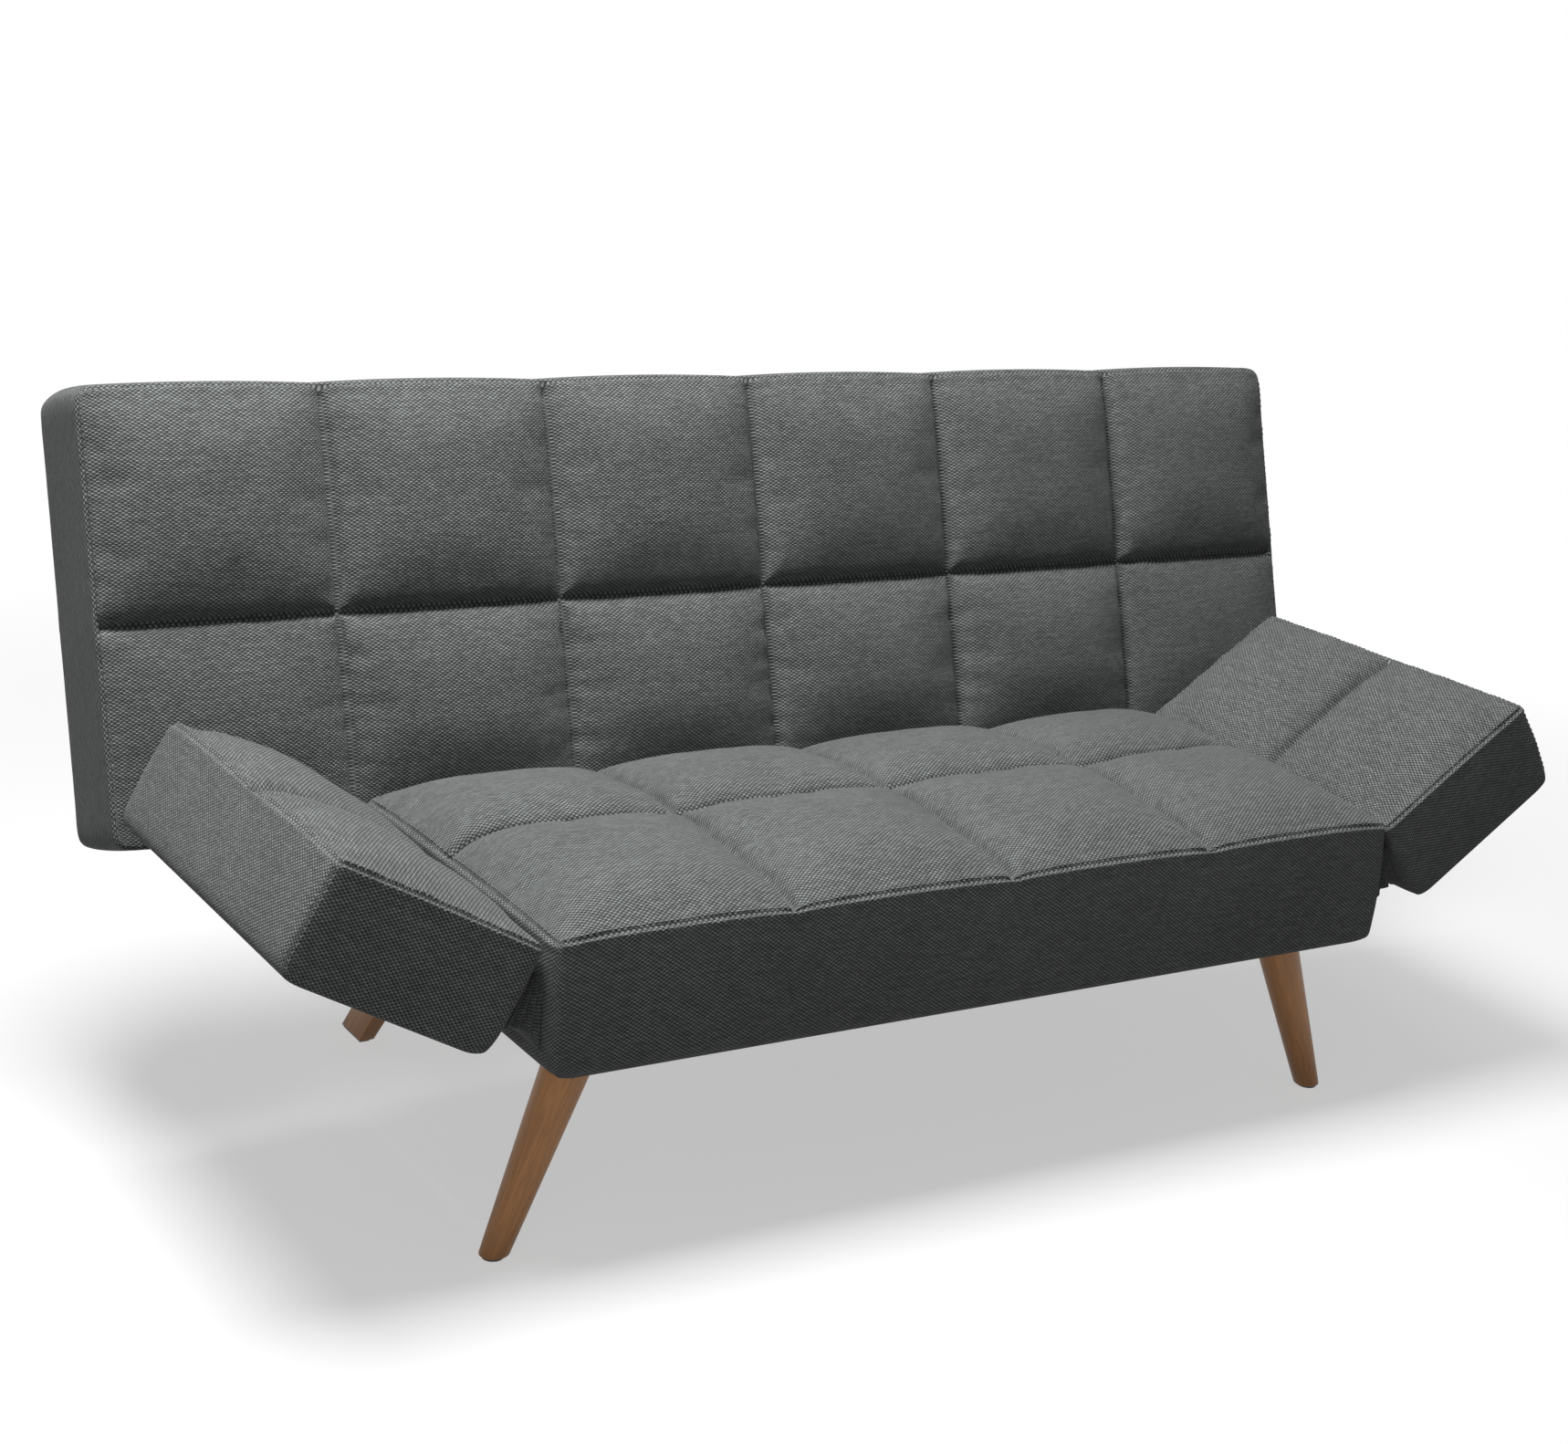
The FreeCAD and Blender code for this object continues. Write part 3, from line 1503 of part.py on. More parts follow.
# Gussets, at the arms' rest angles
def gusset(angle):
    """A folded web across the front of the wedge and a sagging strip along its underside, right side."""
    turn = math.radians(angle)
    x_seat = half_seat + gusset_gap
    u = -arm_hinge_inset - gusset_gap
    on_arm = []
    for w in (-gusset_below_hinge, arm_bottom + gusset_above_arm_bottom):
        x = arm_hinge_x + u * math.cos(turn) - w * math.sin(turn)
        z = arm_hinge_z + u * math.sin(turn) + w * math.cos(turn)
        on_arm.append((x, z))
    top_z = on_arm[0][1]
    arm_foot_x, arm_foot_z = on_arm[1]
    seat_foot_z = seat_bottom_height + seat_end_bottom_radius + gusset_above_seat_corner
    start_y = arm_front_y + gusset_setback
    along = V(0, arm_depth - 2 * gusset_setback, 0)
    wedge = flat_plate(
        [(x_seat, top_z), on_arm[0], on_arm[1], (x_seat, seat_foot_z)],
        lambda a, b: V(a, start_y, b),
        along,
    )

    fold_count = math.ceil((arm_foot_x - x_seat) / gusset_fold_width)
    front = []
    for k in range(fold_count + 1):
        front.append((x_seat + k * gusset_fold_width, start_y + (k % 2) * gusset_fold_depth))
    rear = [(x, y + 2 * gusset_thickness) for x, y in reversed(front)]
    web = flat_plate(front + rear, lambda a, b: V(a, b, seat_foot_z), V(0, 0, top_z - seat_foot_z))
    web = web.common(wedge)

    middle_x = (x_seat + arm_foot_x) / 2
    middle_z = (seat_foot_z + arm_foot_z) / 2 + gusset_sag
    edges = []
    for rise in (0, gusset_thickness):
        ends = [V(x_seat, start_y, seat_foot_z + rise), V(arm_foot_x, start_y, arm_foot_z + rise)]
        arc = Part.Arc(ends[0], V(middle_x, start_y, middle_z + rise), ends[1])
        edges.append(arc.toShape())
    for x, z in ((x_seat, seat_foot_z), (arm_foot_x, arm_foot_z)):
        edges.append(Part.LineSegment(V(x, start_y, z), V(x, start_y, z + gusset_thickness)).toShape())
    strip = Part.Face(Part.Wire(Part.__sortEdges__(edges))).extrude(along)
    return web.fuse(strip.common(wedge)).removeSplitter()


def build_gussets():
    save("arm_gusset_right", [gusset(arm_angle_right)])
    save("arm_gusset_left", [mirrored(gusset(arm_angle_left))])


def main():
    os.makedirs("parts", exist_ok=True)
    build_seat_frame()
    build_springs()
    build_seat_cushion()
    build_bearers()
    build_legs()
    build_seat_hinge_plates()
    build_arm_hinges_on_seat()
    build_back_frame()
    build_back_cushion()
    build_back_hinge_plates()
    build_arms()
    build_gussets()


main()
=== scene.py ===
import json
import math

import bpy
import numpy as np
from bpy.props import FloatProperty, FloatVectorProperty, IntProperty, PointerProperty
from mathutils import Matrix, Vector

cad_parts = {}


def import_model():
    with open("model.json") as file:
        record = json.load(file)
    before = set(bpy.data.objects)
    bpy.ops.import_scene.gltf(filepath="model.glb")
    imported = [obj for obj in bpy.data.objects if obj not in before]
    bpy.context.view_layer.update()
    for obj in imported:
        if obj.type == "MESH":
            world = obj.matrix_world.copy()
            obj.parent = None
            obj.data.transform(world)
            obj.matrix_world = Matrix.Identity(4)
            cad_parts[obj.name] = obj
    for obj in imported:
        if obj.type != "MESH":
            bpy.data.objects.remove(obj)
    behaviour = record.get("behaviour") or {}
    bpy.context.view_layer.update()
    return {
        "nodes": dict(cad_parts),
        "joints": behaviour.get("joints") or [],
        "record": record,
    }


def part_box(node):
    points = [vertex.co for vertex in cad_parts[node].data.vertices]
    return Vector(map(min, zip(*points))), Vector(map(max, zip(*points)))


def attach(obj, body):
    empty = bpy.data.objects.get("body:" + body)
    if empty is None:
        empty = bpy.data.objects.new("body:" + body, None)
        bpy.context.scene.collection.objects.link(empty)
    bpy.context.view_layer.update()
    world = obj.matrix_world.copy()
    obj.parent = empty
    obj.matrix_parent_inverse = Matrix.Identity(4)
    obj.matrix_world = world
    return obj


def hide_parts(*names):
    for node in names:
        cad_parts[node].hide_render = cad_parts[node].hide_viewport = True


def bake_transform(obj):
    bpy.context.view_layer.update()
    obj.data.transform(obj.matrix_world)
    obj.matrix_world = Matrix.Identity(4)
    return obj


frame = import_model()

bl_info = {
    "name": "Click clack sofa bed",
    "version": (1, 0, 0),
    "blender": (4, 5, 0),
    "location": "3D View > Sidebar > Sofa bed",
    "description": "Dresses a packed sofa bed frame with its cushions, cloth, legs and finishes",
    "category": "Object",
}

# Lengths are in metres. The sofa faces -Y and stands on z = 0.
# A cushion is drawn flat in its own directions and then placed: a runs along it, b across its face,
# and h out of its face, so that its thickness lies at negative h.
# A side is 1 for the right and -1 for the left.
NEAR = 1e-6
CLOTH_FRAMES = 20

# Ranges of the pull wrinkles' length, width, depth and slope, by the seam that they leave.
SEAT_COLUMN_PULLS = ((0.03, 0.06), (0.004, 0.007), (0.0003, 0.0010), (-0.4, 0.4))
SEAT_ROW_PULLS = ((0.03, 0.06), (0.004, 0.007), (0.0005, 0.0012), (-0.5, 0.5))
BACK_LOWER_PULLS = ((0.05, 0.115), (0.0045, 0.0075), (0.0012, 0.0032), (-0.28, 0.12))
BACK_UPPER_PULLS = ((0.03, 0.07), (0.005, 0.008), (0.0003, 0.0008), (-0.2, 0.2))
ARM_SEAM_PULLS = ((0.04, 0.09), (0.004, 0.007), (0.0006, 0.0018), (-0.3, 0.3))
ARM_HINGE_PULLS = ((0.05, 0.1), (0.005, 0.009), (0.0006, 0.0016), (-0.4, 0.4))

# Each leg's place at z = 0 and its shift for each metre up, for the right side, and its sections.
TURNED_FOOT = (0.608, -0.32385)
TURNED_LEAN = (-0.39, 0.03)
TURNED_WIDTHS = (0.033, 0.059)
BOARD_FOOT = (0.509, 0.31315)
BOARD_LEAN = (-0.27, -0.5)
BOARD_FOOT_SIZE = (0.021, 0.064)
BOARD_TOP_SIZE = (0.027, 0.070)
BOARD_CORNER = 0.003
FOOT_EDGE = 0.0025

# A closing cloth is tacked this far under the hem, and the cushions' undersides make room for it.
TUCK = 0.0035
CLOTH_STEP = 0.016
NOTCH_GAP = 0.0005
LEG_PLATE = 0.084

KEY_PLACE = (-0.9, -0.15, 3.3)
FILL_PLACE = (-2.6, -2.8, 1.3)
LAMP_TARGET = (0, -0.1, 0.4)
LAMP_SIZE = 1.6
FLOOR_RADIUS = 14
FLOOR_LEVEL_RADIUS = 8


# Settings
def metres(name, description, default):
    return FloatProperty(name=name, description=description, unit="LENGTH", default=default)


def degrees(name, description, default):
    default = math.radians(default)
    return FloatProperty(name=name, description=description, subtype="ANGLE", default=default)


def watts(name, description, default):
    return FloatProperty(name=name, description=description, unit="POWER", default=default)


def pixels(name, description, default):
    kind = IntProperty if isinstance(default, int) else FloatProperty
    return kind(name=name, description=description, subtype="PIXEL", default=default)


def share(name, description, default):
    return FloatProperty(name=name, description=description, subtype="FACTOR", min=0, max=1, default=default)


def tint(name, description, *default):
    return FloatVectorProperty(
        name=name, description=description, subtype="COLOR", size=4, min=0, max=1, default=(*default, 1)
    )


class FabricSettings(bpy.types.PropertyGroup):
    pale: tint("Pale yarn", "Colour on the crown of a weft float", 0.25, 0.264, 0.257)
    # The dark colour is the warp yarn's own in the gaps, and the blend towards it down the low sides of each
    # float is painted shade.
    dark: tint("Dark yarn and painted shade", "Colour between the floats", 0.046, 0.05, 0.048)
    float_length: metres("Float length", "Length of one weft float on the face of the cloth", 0.0034)
    float_height: metres("Float height", "Distance from one weft yarn to the next", 0.00225)
    relief: metres("Relief", "Height of a float over the gap beside it", 0.0007)


class WoodSettings(bpy.types.PropertyGroup):
    pale: tint("Pale grain", "Stained colour between the grain lines", 0.82, 0.375, 0.13)
    dark: tint("Dark grain", "Stained colour of the grain lines", 0.49, 0.214, 0.072)
    gloss: share("Roughness", "Roughness of the satin lacquer", 0.42)


class SeatSettings(bpy.types.PropertyGroup):
    width: metres("Width", "Seat width", 1.2)
    depth: metres("Depth", "Seat depth", 0.526)
    edge: metres("Edge height", "Floor to the top seam", 0.404)
    bottom: metres("Bottom height", "Floor to the underside", 0.244)
    column: metres("Column", "Width of one cell", 0.3)
    front_row: metres("Front row", "Depth of the front cells", 0.29)
    crown: metres("Crown", "Swell of a cell over its seams", 0.032)
    hem: metres("Hem", "Cover turned under the seat", 0.025)


class BackSettings(bpy.types.PropertyGroup):
    width: metres("Width", "Back width", 1.8)
    height: metres("Height", "Back height along its face", 0.544)
    thickness: metres("Thickness", "Back thickness at its seams", 0.17)
    lower_row: metres("Lower row", "Height of the lower cells", 0.262)
    recline: degrees("Recline", "Lean of the upright back", 16.9)
    hinge_inset: metres("Hinge inset", "Hinge from the face and the foot of the back", 0.024)
    crown: metres("Crown", "Swell of a cell over its seams", 0.024)
    side_hem: metres("Side hem", "Cover turned behind the back at its ends", 0.059)
    low_hem: metres("Low hem", "Cover turned behind the back at its foot", 0.053)
    high_hem: metres("High hem", "Cover turned behind the back at its top", 0.061)


class ArmSettings(bpy.types.PropertyGroup):
    length: metres("Length", "Arm length out from the seat", 0.271)
    depth: metres("Depth", "Arm depth from front to rear", 0.512)
    thickness: metres("Thickness", "Arm thickness at its seams", 0.132)
    hinge_inset: metres("Hinge inset", "Hinge from the top and inner end", 0.012)
    rise_left: degrees("Left rise", "Angle of the left arm", 28.5)
    rise_right: degrees("Right rise", "Angle of the right arm", 33.5)
    crown: metres("Crown", "Swell of a cell over its seams", 0.021)
    end_hem: metres("End hem", "Cover turned under the arm at its front and rear", 0.037)
    inner_hem: metres("Inner hem", "Cover turned under the arm at its hinge", 0.053)
    outer_hem: metres("Outer hem", "Cover turned under the arm at its outer end", 0.0527)


class StageSettings(bpy.types.PropertyGroup):
    image_width: pixels("Image width", "Width of the picture", 1718)
    image_height: pixels("Image height", "Height of the picture", 1582)
    focal: pixels("Focal length", "Focal length in pixels of the picture", 2875.0)
    centre_x: pixels("Centre x", "Pixel across, where the camera's axis meets the picture", 939.81)
    centre_y: pixels("Centre y", "Pixel down, where the camera's axis meets the picture", 780.36)
    place: FloatVectorProperty(
        name="Camera place",
        description="Where the camera stands",
        subtype="TRANSLATION",
        default=(-1.79046, -2.7198, 1.40844),
    )
    yaw: degrees("Yaw", "Turn of the camera about the vertical", -33.93)
    pitch: degrees("Pitch", "Lift of the camera's axis", -15.7)
    roll: degrees("Roll", "Turn of the camera about its axis", 4.74)
    ambient: share("Ambient", "Brightness of the room's own light", 0.16)
    key: watts("Key lamp", "Power of the large lamp above the sofa, at its left", 150.0)
    fill: watts("Fill lamp", "Power of the lamp at the left front", 8.0)
    floor: tint("Floor", "Colour of the floor and the backdrop", 0.93, 0.93, 0.93)
    bounce: tint("Floor bounce", "Colour of the floor in the light that it throws back", 0.24, 0.24, 0.24)


SETTINGS = {
    "sofa_fabric": FabricSettings,
    "sofa_wood": WoodSettings,
    "sofa_seat": SeatSettings,
    "sofa_back": BackSettings,
    "sofa_arm": ArmSettings,
    "sofa_stage": StageSettings,
}


# Node helpers
class Graph:
    """Adds shader nodes to one tree and wires them by short calls."""

    def __init__(self, tree):
        self.tree = tree
        self.shader = tree.nodes["Principled BSDF"]

    def add(self, kind, **values):
        node = self.tree.nodes.new(kind)
        for key, value in values.items():
            setattr(node, key, value)
        return node

    def put(self, socket, value):
        if isinstance(value, bpy.types.NodeSocket):
            self.tree.links.new(value, socket)
        else:
            socket.default_value = value

    def wire(self, kind, **values):
        """A new node with the sockets named by its values set or linked, and its first output."""
        node = self.add(kind)
        for key, value in values.items():
            self.put(node.inputs[key.replace("_", " ")], value)
        return node.outputs[0]

    def math(self, operation, *values):
        node = self.add("ShaderNodeMath", operation=operation)
        for k, value in enumerate(values):
            self.put(node.inputs[k], value)
        return node.outputs[0]

    def coordinates(self, kind):
        return self.add("ShaderNodeTexCoord").outputs[kind]

    def parts(self, vector):
        node = self.add("ShaderNodeSeparateXYZ")
        self.put(node.inputs[0], vector)
        return node.outputs

    def mapping(self, vector, scale=(1, 1, 1), turn=(0, 0, 0)):
        return self.wire("ShaderNodeMapping", Vector=vector, Scale=scale, Rotation=turn)

    def noise(self, vector, scale, detail, roughness, distortion=0.0):
        return self.wire(
            "ShaderNodeTexNoise",
            Vector=vector,
            Scale=scale,
            Detail=detail,
            Roughness=roughness,
            Distortion=distortion,
        )

    def spread(self, value, low, high, to_low=0.0, to_high=1.0):
        return self.wire(
            "ShaderNodeMapRange", Value=value, From_Min=low, From_Max=high, To_Min=to_low, To_Max=to_high
        )

    def blend(self, share, first, second):
        node = self.add("ShaderNodeMix", data_type="RGBA")
        self.put(node.inputs[0], share)
        self.put(node.inputs[6], first)
        self.put(node.inputs[7], second)
        return node.outputs[2]

    def bump(self, height, distance, strength):
        return self.wire("ShaderNodeBump", Height=height, Distance=distance, Strength=strength)

    def finish(self, **values):
        for key, value in values.items():
            self.put(self.shader.inputs[key.replace("_", " ")], value)


def material_of(name, recipe, *values):
    """The material of this name, made by its recipe the first time that it is asked for."""
    material = bpy.data.materials.get(name + "_finish")
    if material is None:
        material = bpy.data.materials.new(name + "_finish")
        material.use_nodes = True
        recipe(Graph(material.node_tree), *values)
    return material


def toned(colour, share):
    return [min(1, v * share) for v in colour] + [1]


# Materials
def woven_cover(g):
    """Coarse weave: rows of weft floats, each row half a period on from the last.

    A float's height is the sine of its place along the row times the sine of its place across it.
    """
    settings = bpy.context.scene.sofa_fabric
    uv = g.coordinates("UV")
    u, v, _ = g.parts(uv)
    row = g.math("DIVIDE", v, settings.float_height)
    row_number = g.math("FLOOR", row)
    across = g.math("FRACT", row)
    shift = g.math("MULTIPLY", g.math("FLOORED_MODULO", row_number, 2.0), 0.5)
    column = g.math("ADD", g.math("DIVIDE", u, 2 * settings.float_length), shift)
    along = g.math("SINE", g.math("MULTIPLY", column, 2 * math.pi))
    ridge = g.math("POWER", g.math("SINE", g.math("MULTIPLY", across, math.pi)), 0.6)
    height = g.math("MULTIPLY", ridge, g.math("MULTIPLY_ADD", along, 0.5, 0.5))

    place = g.add("ShaderNodeCombineXYZ")
    g.put(place.inputs[0], g.math("FLOOR", column))
    g.put(place.inputs[1], row_number)
    chance = g.add("ShaderNodeTexWhiteNoise", noise_dimensions="2D")
    g.put(chance.inputs["Vector"], place.outputs[0])
    uneven = g.spread(chance.outputs[0], 0.0, 1.0, 0.72, 1.12)
    slub = g.noise(g.mapping(uv, scale=(22, 240, 1)), 1.0, 2.0, 0.6)
    slub = g.spread(slub, 0.3, 0.7, 0.86, 1.12)
    cloudy = g.spread(g.noise(uv, 5.0, 3.0, 0.55), 0.3, 0.7, 0.93, 1.07)
    fibre = g.noise(g.mapping(uv, scale=(1400, 3800, 1)), 1.0, 1.0, 0.5)

    # Painted shade: the colour follows each float's height, pale weft on its crown and dark warp in the
    # gaps, so the low sides of every float are painted darker.
    colour = g.blend(g.spread(height, 0.10, 0.85), settings.dark, settings.pale)
    level = g.math("MULTIPLY", uneven, g.math("MULTIPLY", slub, cloudy))
    level = g.math("MULTIPLY", level, g.spread(fibre, 0.2, 0.8, 0.92, 1.08))
    scale = g.add("ShaderNodeVectorMath", operation="SCALE")
    g.put(scale.inputs[0], colour)
    g.put(scale.inputs["Scale"], level)
    g.finish(
        Base_Color=scale.outputs[0],
        Normal=g.bump(g.math("MULTIPLY_ADD", fibre, 0.12, height), settings.relief, 0.8),
        Roughness=0.92,
        Sheen_Weight=0.12,
        Sheen_Roughness=0.5,
        Specular_IOR_Level=0.2,
    )


def plain_cloth(g, colour):
    """Thin plain weave: two crossed sine waves."""
    pitch = 0.0012
    waves = []
    for part in g.parts(g.coordinates("UV"))[:2]:
        waves.append(g.math("SINE", g.math("MULTIPLY", part, math.pi / pitch)))
    weave = g.math("MULTIPLY", *waves)
    mottled = g.noise(g.coordinates("Object"), 14.0, 3.0, 0.6)
    shade = g.math("MULTIPLY_ADD", weave, 0.25, mottled)
    g.finish(
        Base_Color=g.blend(g.spread(shade, 0.25, 0.8), toned(colour, 0.7), toned(colour, 1.35)),
        Normal=g.bump(weave, 0.0002, 0.5),
        Roughness=0.95,
        Sheen_Weight=0.1,
        Specular_IOR_Level=0.15,
    )


def felted(g, colour, scale):
    """Matted fibres: stretched noise in two directions."""
    place = g.coordinates("Object")
    first = g.noise(g.mapping(place, scale=(scale, scale * 0.2, scale)), 1.0, 4.0, 0.7)
    second = g.noise(g.mapping(place, scale=(scale * 0.2, scale, scale)), 1.0, 4.0, 0.7)
    fibre = g.math("MULTIPLY", g.math("ADD", first, second), 0.5)
    g.finish(
        Base_Color=g.blend(g.spread(fibre, 0.35, 0.65), toned(colour, 0.6), toned(colour, 1.3)),
        Normal=g.bump(fibre, 0.0006, 0.7),
        Roughness=0.97,
        Specular_IOR_Level=0.1,
    )


def timber(g, pale, dark, roughness, along, turn=(0, 0, 0)):
    """Straight grain: bands of noise that are stretched along one axis, with fine pores over them."""
    place = g.mapping(g.coordinates("Object"), turn=turn)
    wide_scale = [30.0, 30.0, 30.0]
    wide_scale[along] = 2.2
    fine_scale = [420.0, 420.0, 420.0]
    fine_scale[along] = 14.0
    wide = g.noise(g.mapping(place, scale=wide_scale), 1.0, 4.0, 0.55, 0.6)
    rings = g.math("SINE", g.math("MULTIPLY", wide, 34.0))
    pores = g.noise(g.mapping(place, scale=fine_scale), 1.0, 3.0, 0.6)
    patches = g.noise(place, 9.0, 2.0, 0.5)
    share = g.math("MULTIPLY_ADD", rings, 0.16, g.spread(pores, 0.32, 0.7, 0.0, 0.75))
    share = g.math("MULTIPLY_ADD", g.spread(patches, 0.3, 0.7), 0.35, share)
    g.finish(
        Base_Color=g.blend(g.spread(share, 0.0, 1.05), dark, pale),
        Normal=g.bump(pores, 0.00012, 0.35),
        Roughness=g.spread(pores, 0.2, 0.8, roughness - 0.06, roughness + 0.1),
        Coat_Weight=0.12,
        Coat_Roughness=0.35,
    )


def leg_timber(g, turn=(0, 0, 0)):
    """The stained timber of the legs, with its grain turned to the leg's lean."""
    settings = bpy.context.scene.sofa_wood
    timber(g, settings.pale, settings.dark, settings.gloss, 2, turn)


def steel(g, colour, roughness, metallic):
    """Brushed or coated metal: fine noise in its roughness and relief, and wear in its colour."""
    grain = 900.0
    place = g.coordinates("Object")
    fine = g.noise(g.mapping(place, scale=(grain, grain, grain * 0.12)), 1.0, 3.0, 0.6)
    worn = g.noise(place, 30.0, 3.0, 0.6)
    g.finish(
        Base_Color=g.blend(g.spread(worn, 0.3, 0.7), toned(colour, 0.75), toned(colour, 1.2)),
        Roughness=g.spread(fine, 0.2, 0.8, roughness - 0.08, roughness + 0.1),
        Normal=g.bump(fine, 0.00006, 0.4),
        Metallic=metallic,
    )


def moulded(g, colour, roughness):
    """Moulded plastic or rubber with a fine spark-eroded grain."""
    place = g.coordinates("Object")
    grain = g.noise(place, 1500.0, 2.0, 0.6)
    worn = g.noise(place, 60.0, 2.0, 0.5)
    g.finish(
        Base_Color=g.blend(g.spread(worn, 0.35, 0.65), toned(colour, 0.8), toned(colour, 1.5)),
        Roughness=g.spread(grain, 0.2, 0.8, roughness - 0.05, roughness + 0.1),
        Normal=g.bump(grain, 0.00008, 0.4),
    )


def thread(g):
    """Twisted polyester thread: fine mottling along the stitch."""
    twist = g.noise(g.coordinates("Object"), 900.0, 2.0, 0.5)
    g.finish(
        Base_Color=g.blend(g.spread(twist, 0.3, 0.7), (0.10, 0.106, 0.103, 1), (0.24, 0.25, 0.245, 1)),
        Roughness=0.6,
        Sheen_Weight=0.1,
    )


SLOT_RECIPES = {
    "woven_cover": (woven_cover,),
    "rear_cloth": (plain_cloth, (0.030, 0.031, 0.032)),
    "dust_cloth": (plain_cloth, (0.016, 0.016, 0.017)),
    "foam": (felted, (0.82, 0.78, 0.66), 260.0),
    "felt": (felted, (0.35, 0.34, 0.33), 300.0),
    "webbing": (felted, (0.09, 0.09, 0.09), 420.0),
    "frame_timber": (timber, (0.62, 0.45, 0.27, 1), (0.44, 0.28, 0.15, 1), 0.6, 0),
    "leg_timber": (leg_timber,),
    "black_steel": (steel, (0.026, 0.026, 0.027), 0.5, 0.0),
    "plated_steel": (steel, (0.60, 0.59, 0.56), 0.34, 1.0),
    "spring_steel": (steel, (0.30, 0.30, 0.31), 0.42, 1.0),
    "black_plastic": (moulded, (0.022, 0.022, 0.023), 0.5),
    "rubber": (moulded, (0.018, 0.018, 0.018), 0.75),
}


def slot_finish(slot):
    return material_of(slot, *SLOT_RECIPES[slot])


def dress(obj, material):
    """Gives a new piece, or a carried-over solid, one material."""
    obj.data.materials.clear()
    obj.data.materials.append(material)


# Surfaces
def mesh_object(name, points, faces):
    mesh = bpy.data.meshes.new(name)
    mesh.from_pydata(points.tolist(), [], faces)
    mesh.update()
    mesh.shade_smooth()
    obj = bpy.data.objects.new(name, mesh)
    bpy.context.scene.collection.objects.link(obj)
    return obj


def grid_quads(number):
    """The quads of a grid of point numbers, each from its low corner along the first direction."""
    corners = [number[:-1, :-1], number[1:, :-1], number[1:, 1:], number[:-1, 1:]]
    return np.stack(corners, -1).reshape(-1, 4)


def other_way(quads):
    """Turns quads over, and keeps the corner that each starts from."""
    return quads[:, [0, 3, 2, 1]]


def ring_numbers(points, count, start=0):
    """Numbers of the points of rings of this count, with each ring's first point again at its end."""
    number = np.arange(start, len(points)).reshape(-1, count)
    return np.column_stack([number, number[:, 0]])


def lay_uv(mesh, uv):
    layer = mesh.uv_layers.new(name="weave")
    layer.data.foreach_set("uv", uv.astype(np.float32).ravel())


def grid_lines(marks, step, close):
    """Places along one direction: the marks, a few places close to each, and even steps between."""
    lines = [marks[0]]
    for low, high in zip(marks[:-1], marks[1:]):
        start = low + close[-1]
        end = high - close[-1]
        count = max(2, round((end - start) / step))
        lines += [low + near for near in close[:-1]]
        lines += list(np.linspace(start, end, count + 1))
        lines += [high - near for near in reversed(close[:-1])]
        lines.append(high)
    return np.array(lines)


def box_lattice(a_lines, b_lines, c_lines):
    """The six faces of a box as one closed grid whose edge and corner points are shared.

    Gives the places of the points, the faces, and for each face the direction that it looks along.
    """
    sizes = (len(a_lines), len(b_lines), len(c_lines))
    index = np.indices(sizes).reshape(3, -1).T
    last = np.array(sizes) - 1
    outside = ((index == 0) | (index == last)).any(1)
    number = np.full(len(index), -1)
    number[outside] = np.arange(outside.sum())
    number = number.reshape(sizes)
    index = index[outside]
    places = np.stack([a_lines[index[:, 0]], b_lines[index[:, 1]], c_lines[index[:, 2]]], 1)
    faces = []
    looks = []
    for axis in range(3):
        for end in (0, -1):
            quads = grid_quads(np.take(number, end, axis=axis))
            outward = (axis != 1) == (end == -1)
            if not outward:
                quads = quads[:, ::-1]
            faces.append(quads)
            looks.append(np.full(len(quads), axis))
    return places, np.concatenate(faces), np.concatenate(looks)


def round_corner(p, q, p_size, q_size, radius, p_sign, q_sign):
    """Bends the square corner of a rectangle onto an arc.

    Within the corner square a point keeps its larger offset as its distance from the arc's centre.
    """
    dp = p_sign * p - (p_size - radius)
    dq = q_sign * q - (q_size - radius)
    inside = (dp > 0) & (dq > 0)
    length = np.hypot(dp, dq)
    scale = np.where(inside, np.maximum(dp, dq) / np.where(length > 0, length, 1), 1)
    new_p = p_sign * (p_size - radius + dp * scale)
    new_q = q_sign * (q_size - radius + dq * scale)
    return np.where(inside, new_p, p), np.where(inside, new_q, q)


def cell_place(values, marks):
    """Which cell each value lies in, and its place from 0 to 1 across that cell."""
    cell = np.clip(np.searchsorted(marks, values, side="right") - 1, 0, len(marks) - 2)
    low = np.take(marks, cell)
    high = np.take(marks, cell + 1)
    return cell, np.clip((values - low) / (high - low), 0, 1)


def pillow(place, fullness):
    """Crown over a cell: nought at its seams, one at its middle, flatter on top as fullness grows."""
    return np.clip(1 - np.abs(2 * place - 1) ** fullness, 0, 1)


def seam_distance(values, marks):
    """Distance to the nearest mark."""
    return np.abs(values[:, None] - np.array(marks)[None, :]).min(1)


def edge_distance(a, b, low_a, high_a, low_b, high_b):
    """Distance to the nearest side of a rectangle, positive within it."""
    return np.minimum(np.minimum(a - low_a, high_a - a), np.minimum(b - low_b, high_b - b))


def unit(vectors):
    length = np.linalg.norm(vectors, axis=1, keepdims=True)
    return vectors / np.where(length > 0, length, 1)


def read_vectors(collection, key="vector"):
    values = np.empty(len(collection) * 3, np.float32)
    collection.foreach_get(key, values)
    return values.reshape(-1, 3).astype(float)


def read_points(mesh):
    return read_vectors(mesh.vertices, "co")


def write_points(mesh, points):
    mesh.vertices.foreach_set("co", points.astype(np.float32).ravel())
    mesh.update()


def keep_places(mesh, places):
    attribute = mesh.attributes.new("sewing_place", "FLOAT_VECTOR", "POINT")
    attribute.data.foreach_set("vector", places.astype(np.float32).ravel())


def read_places(mesh):
    return read_vectors(mesh.attributes["sewing_place"].data)


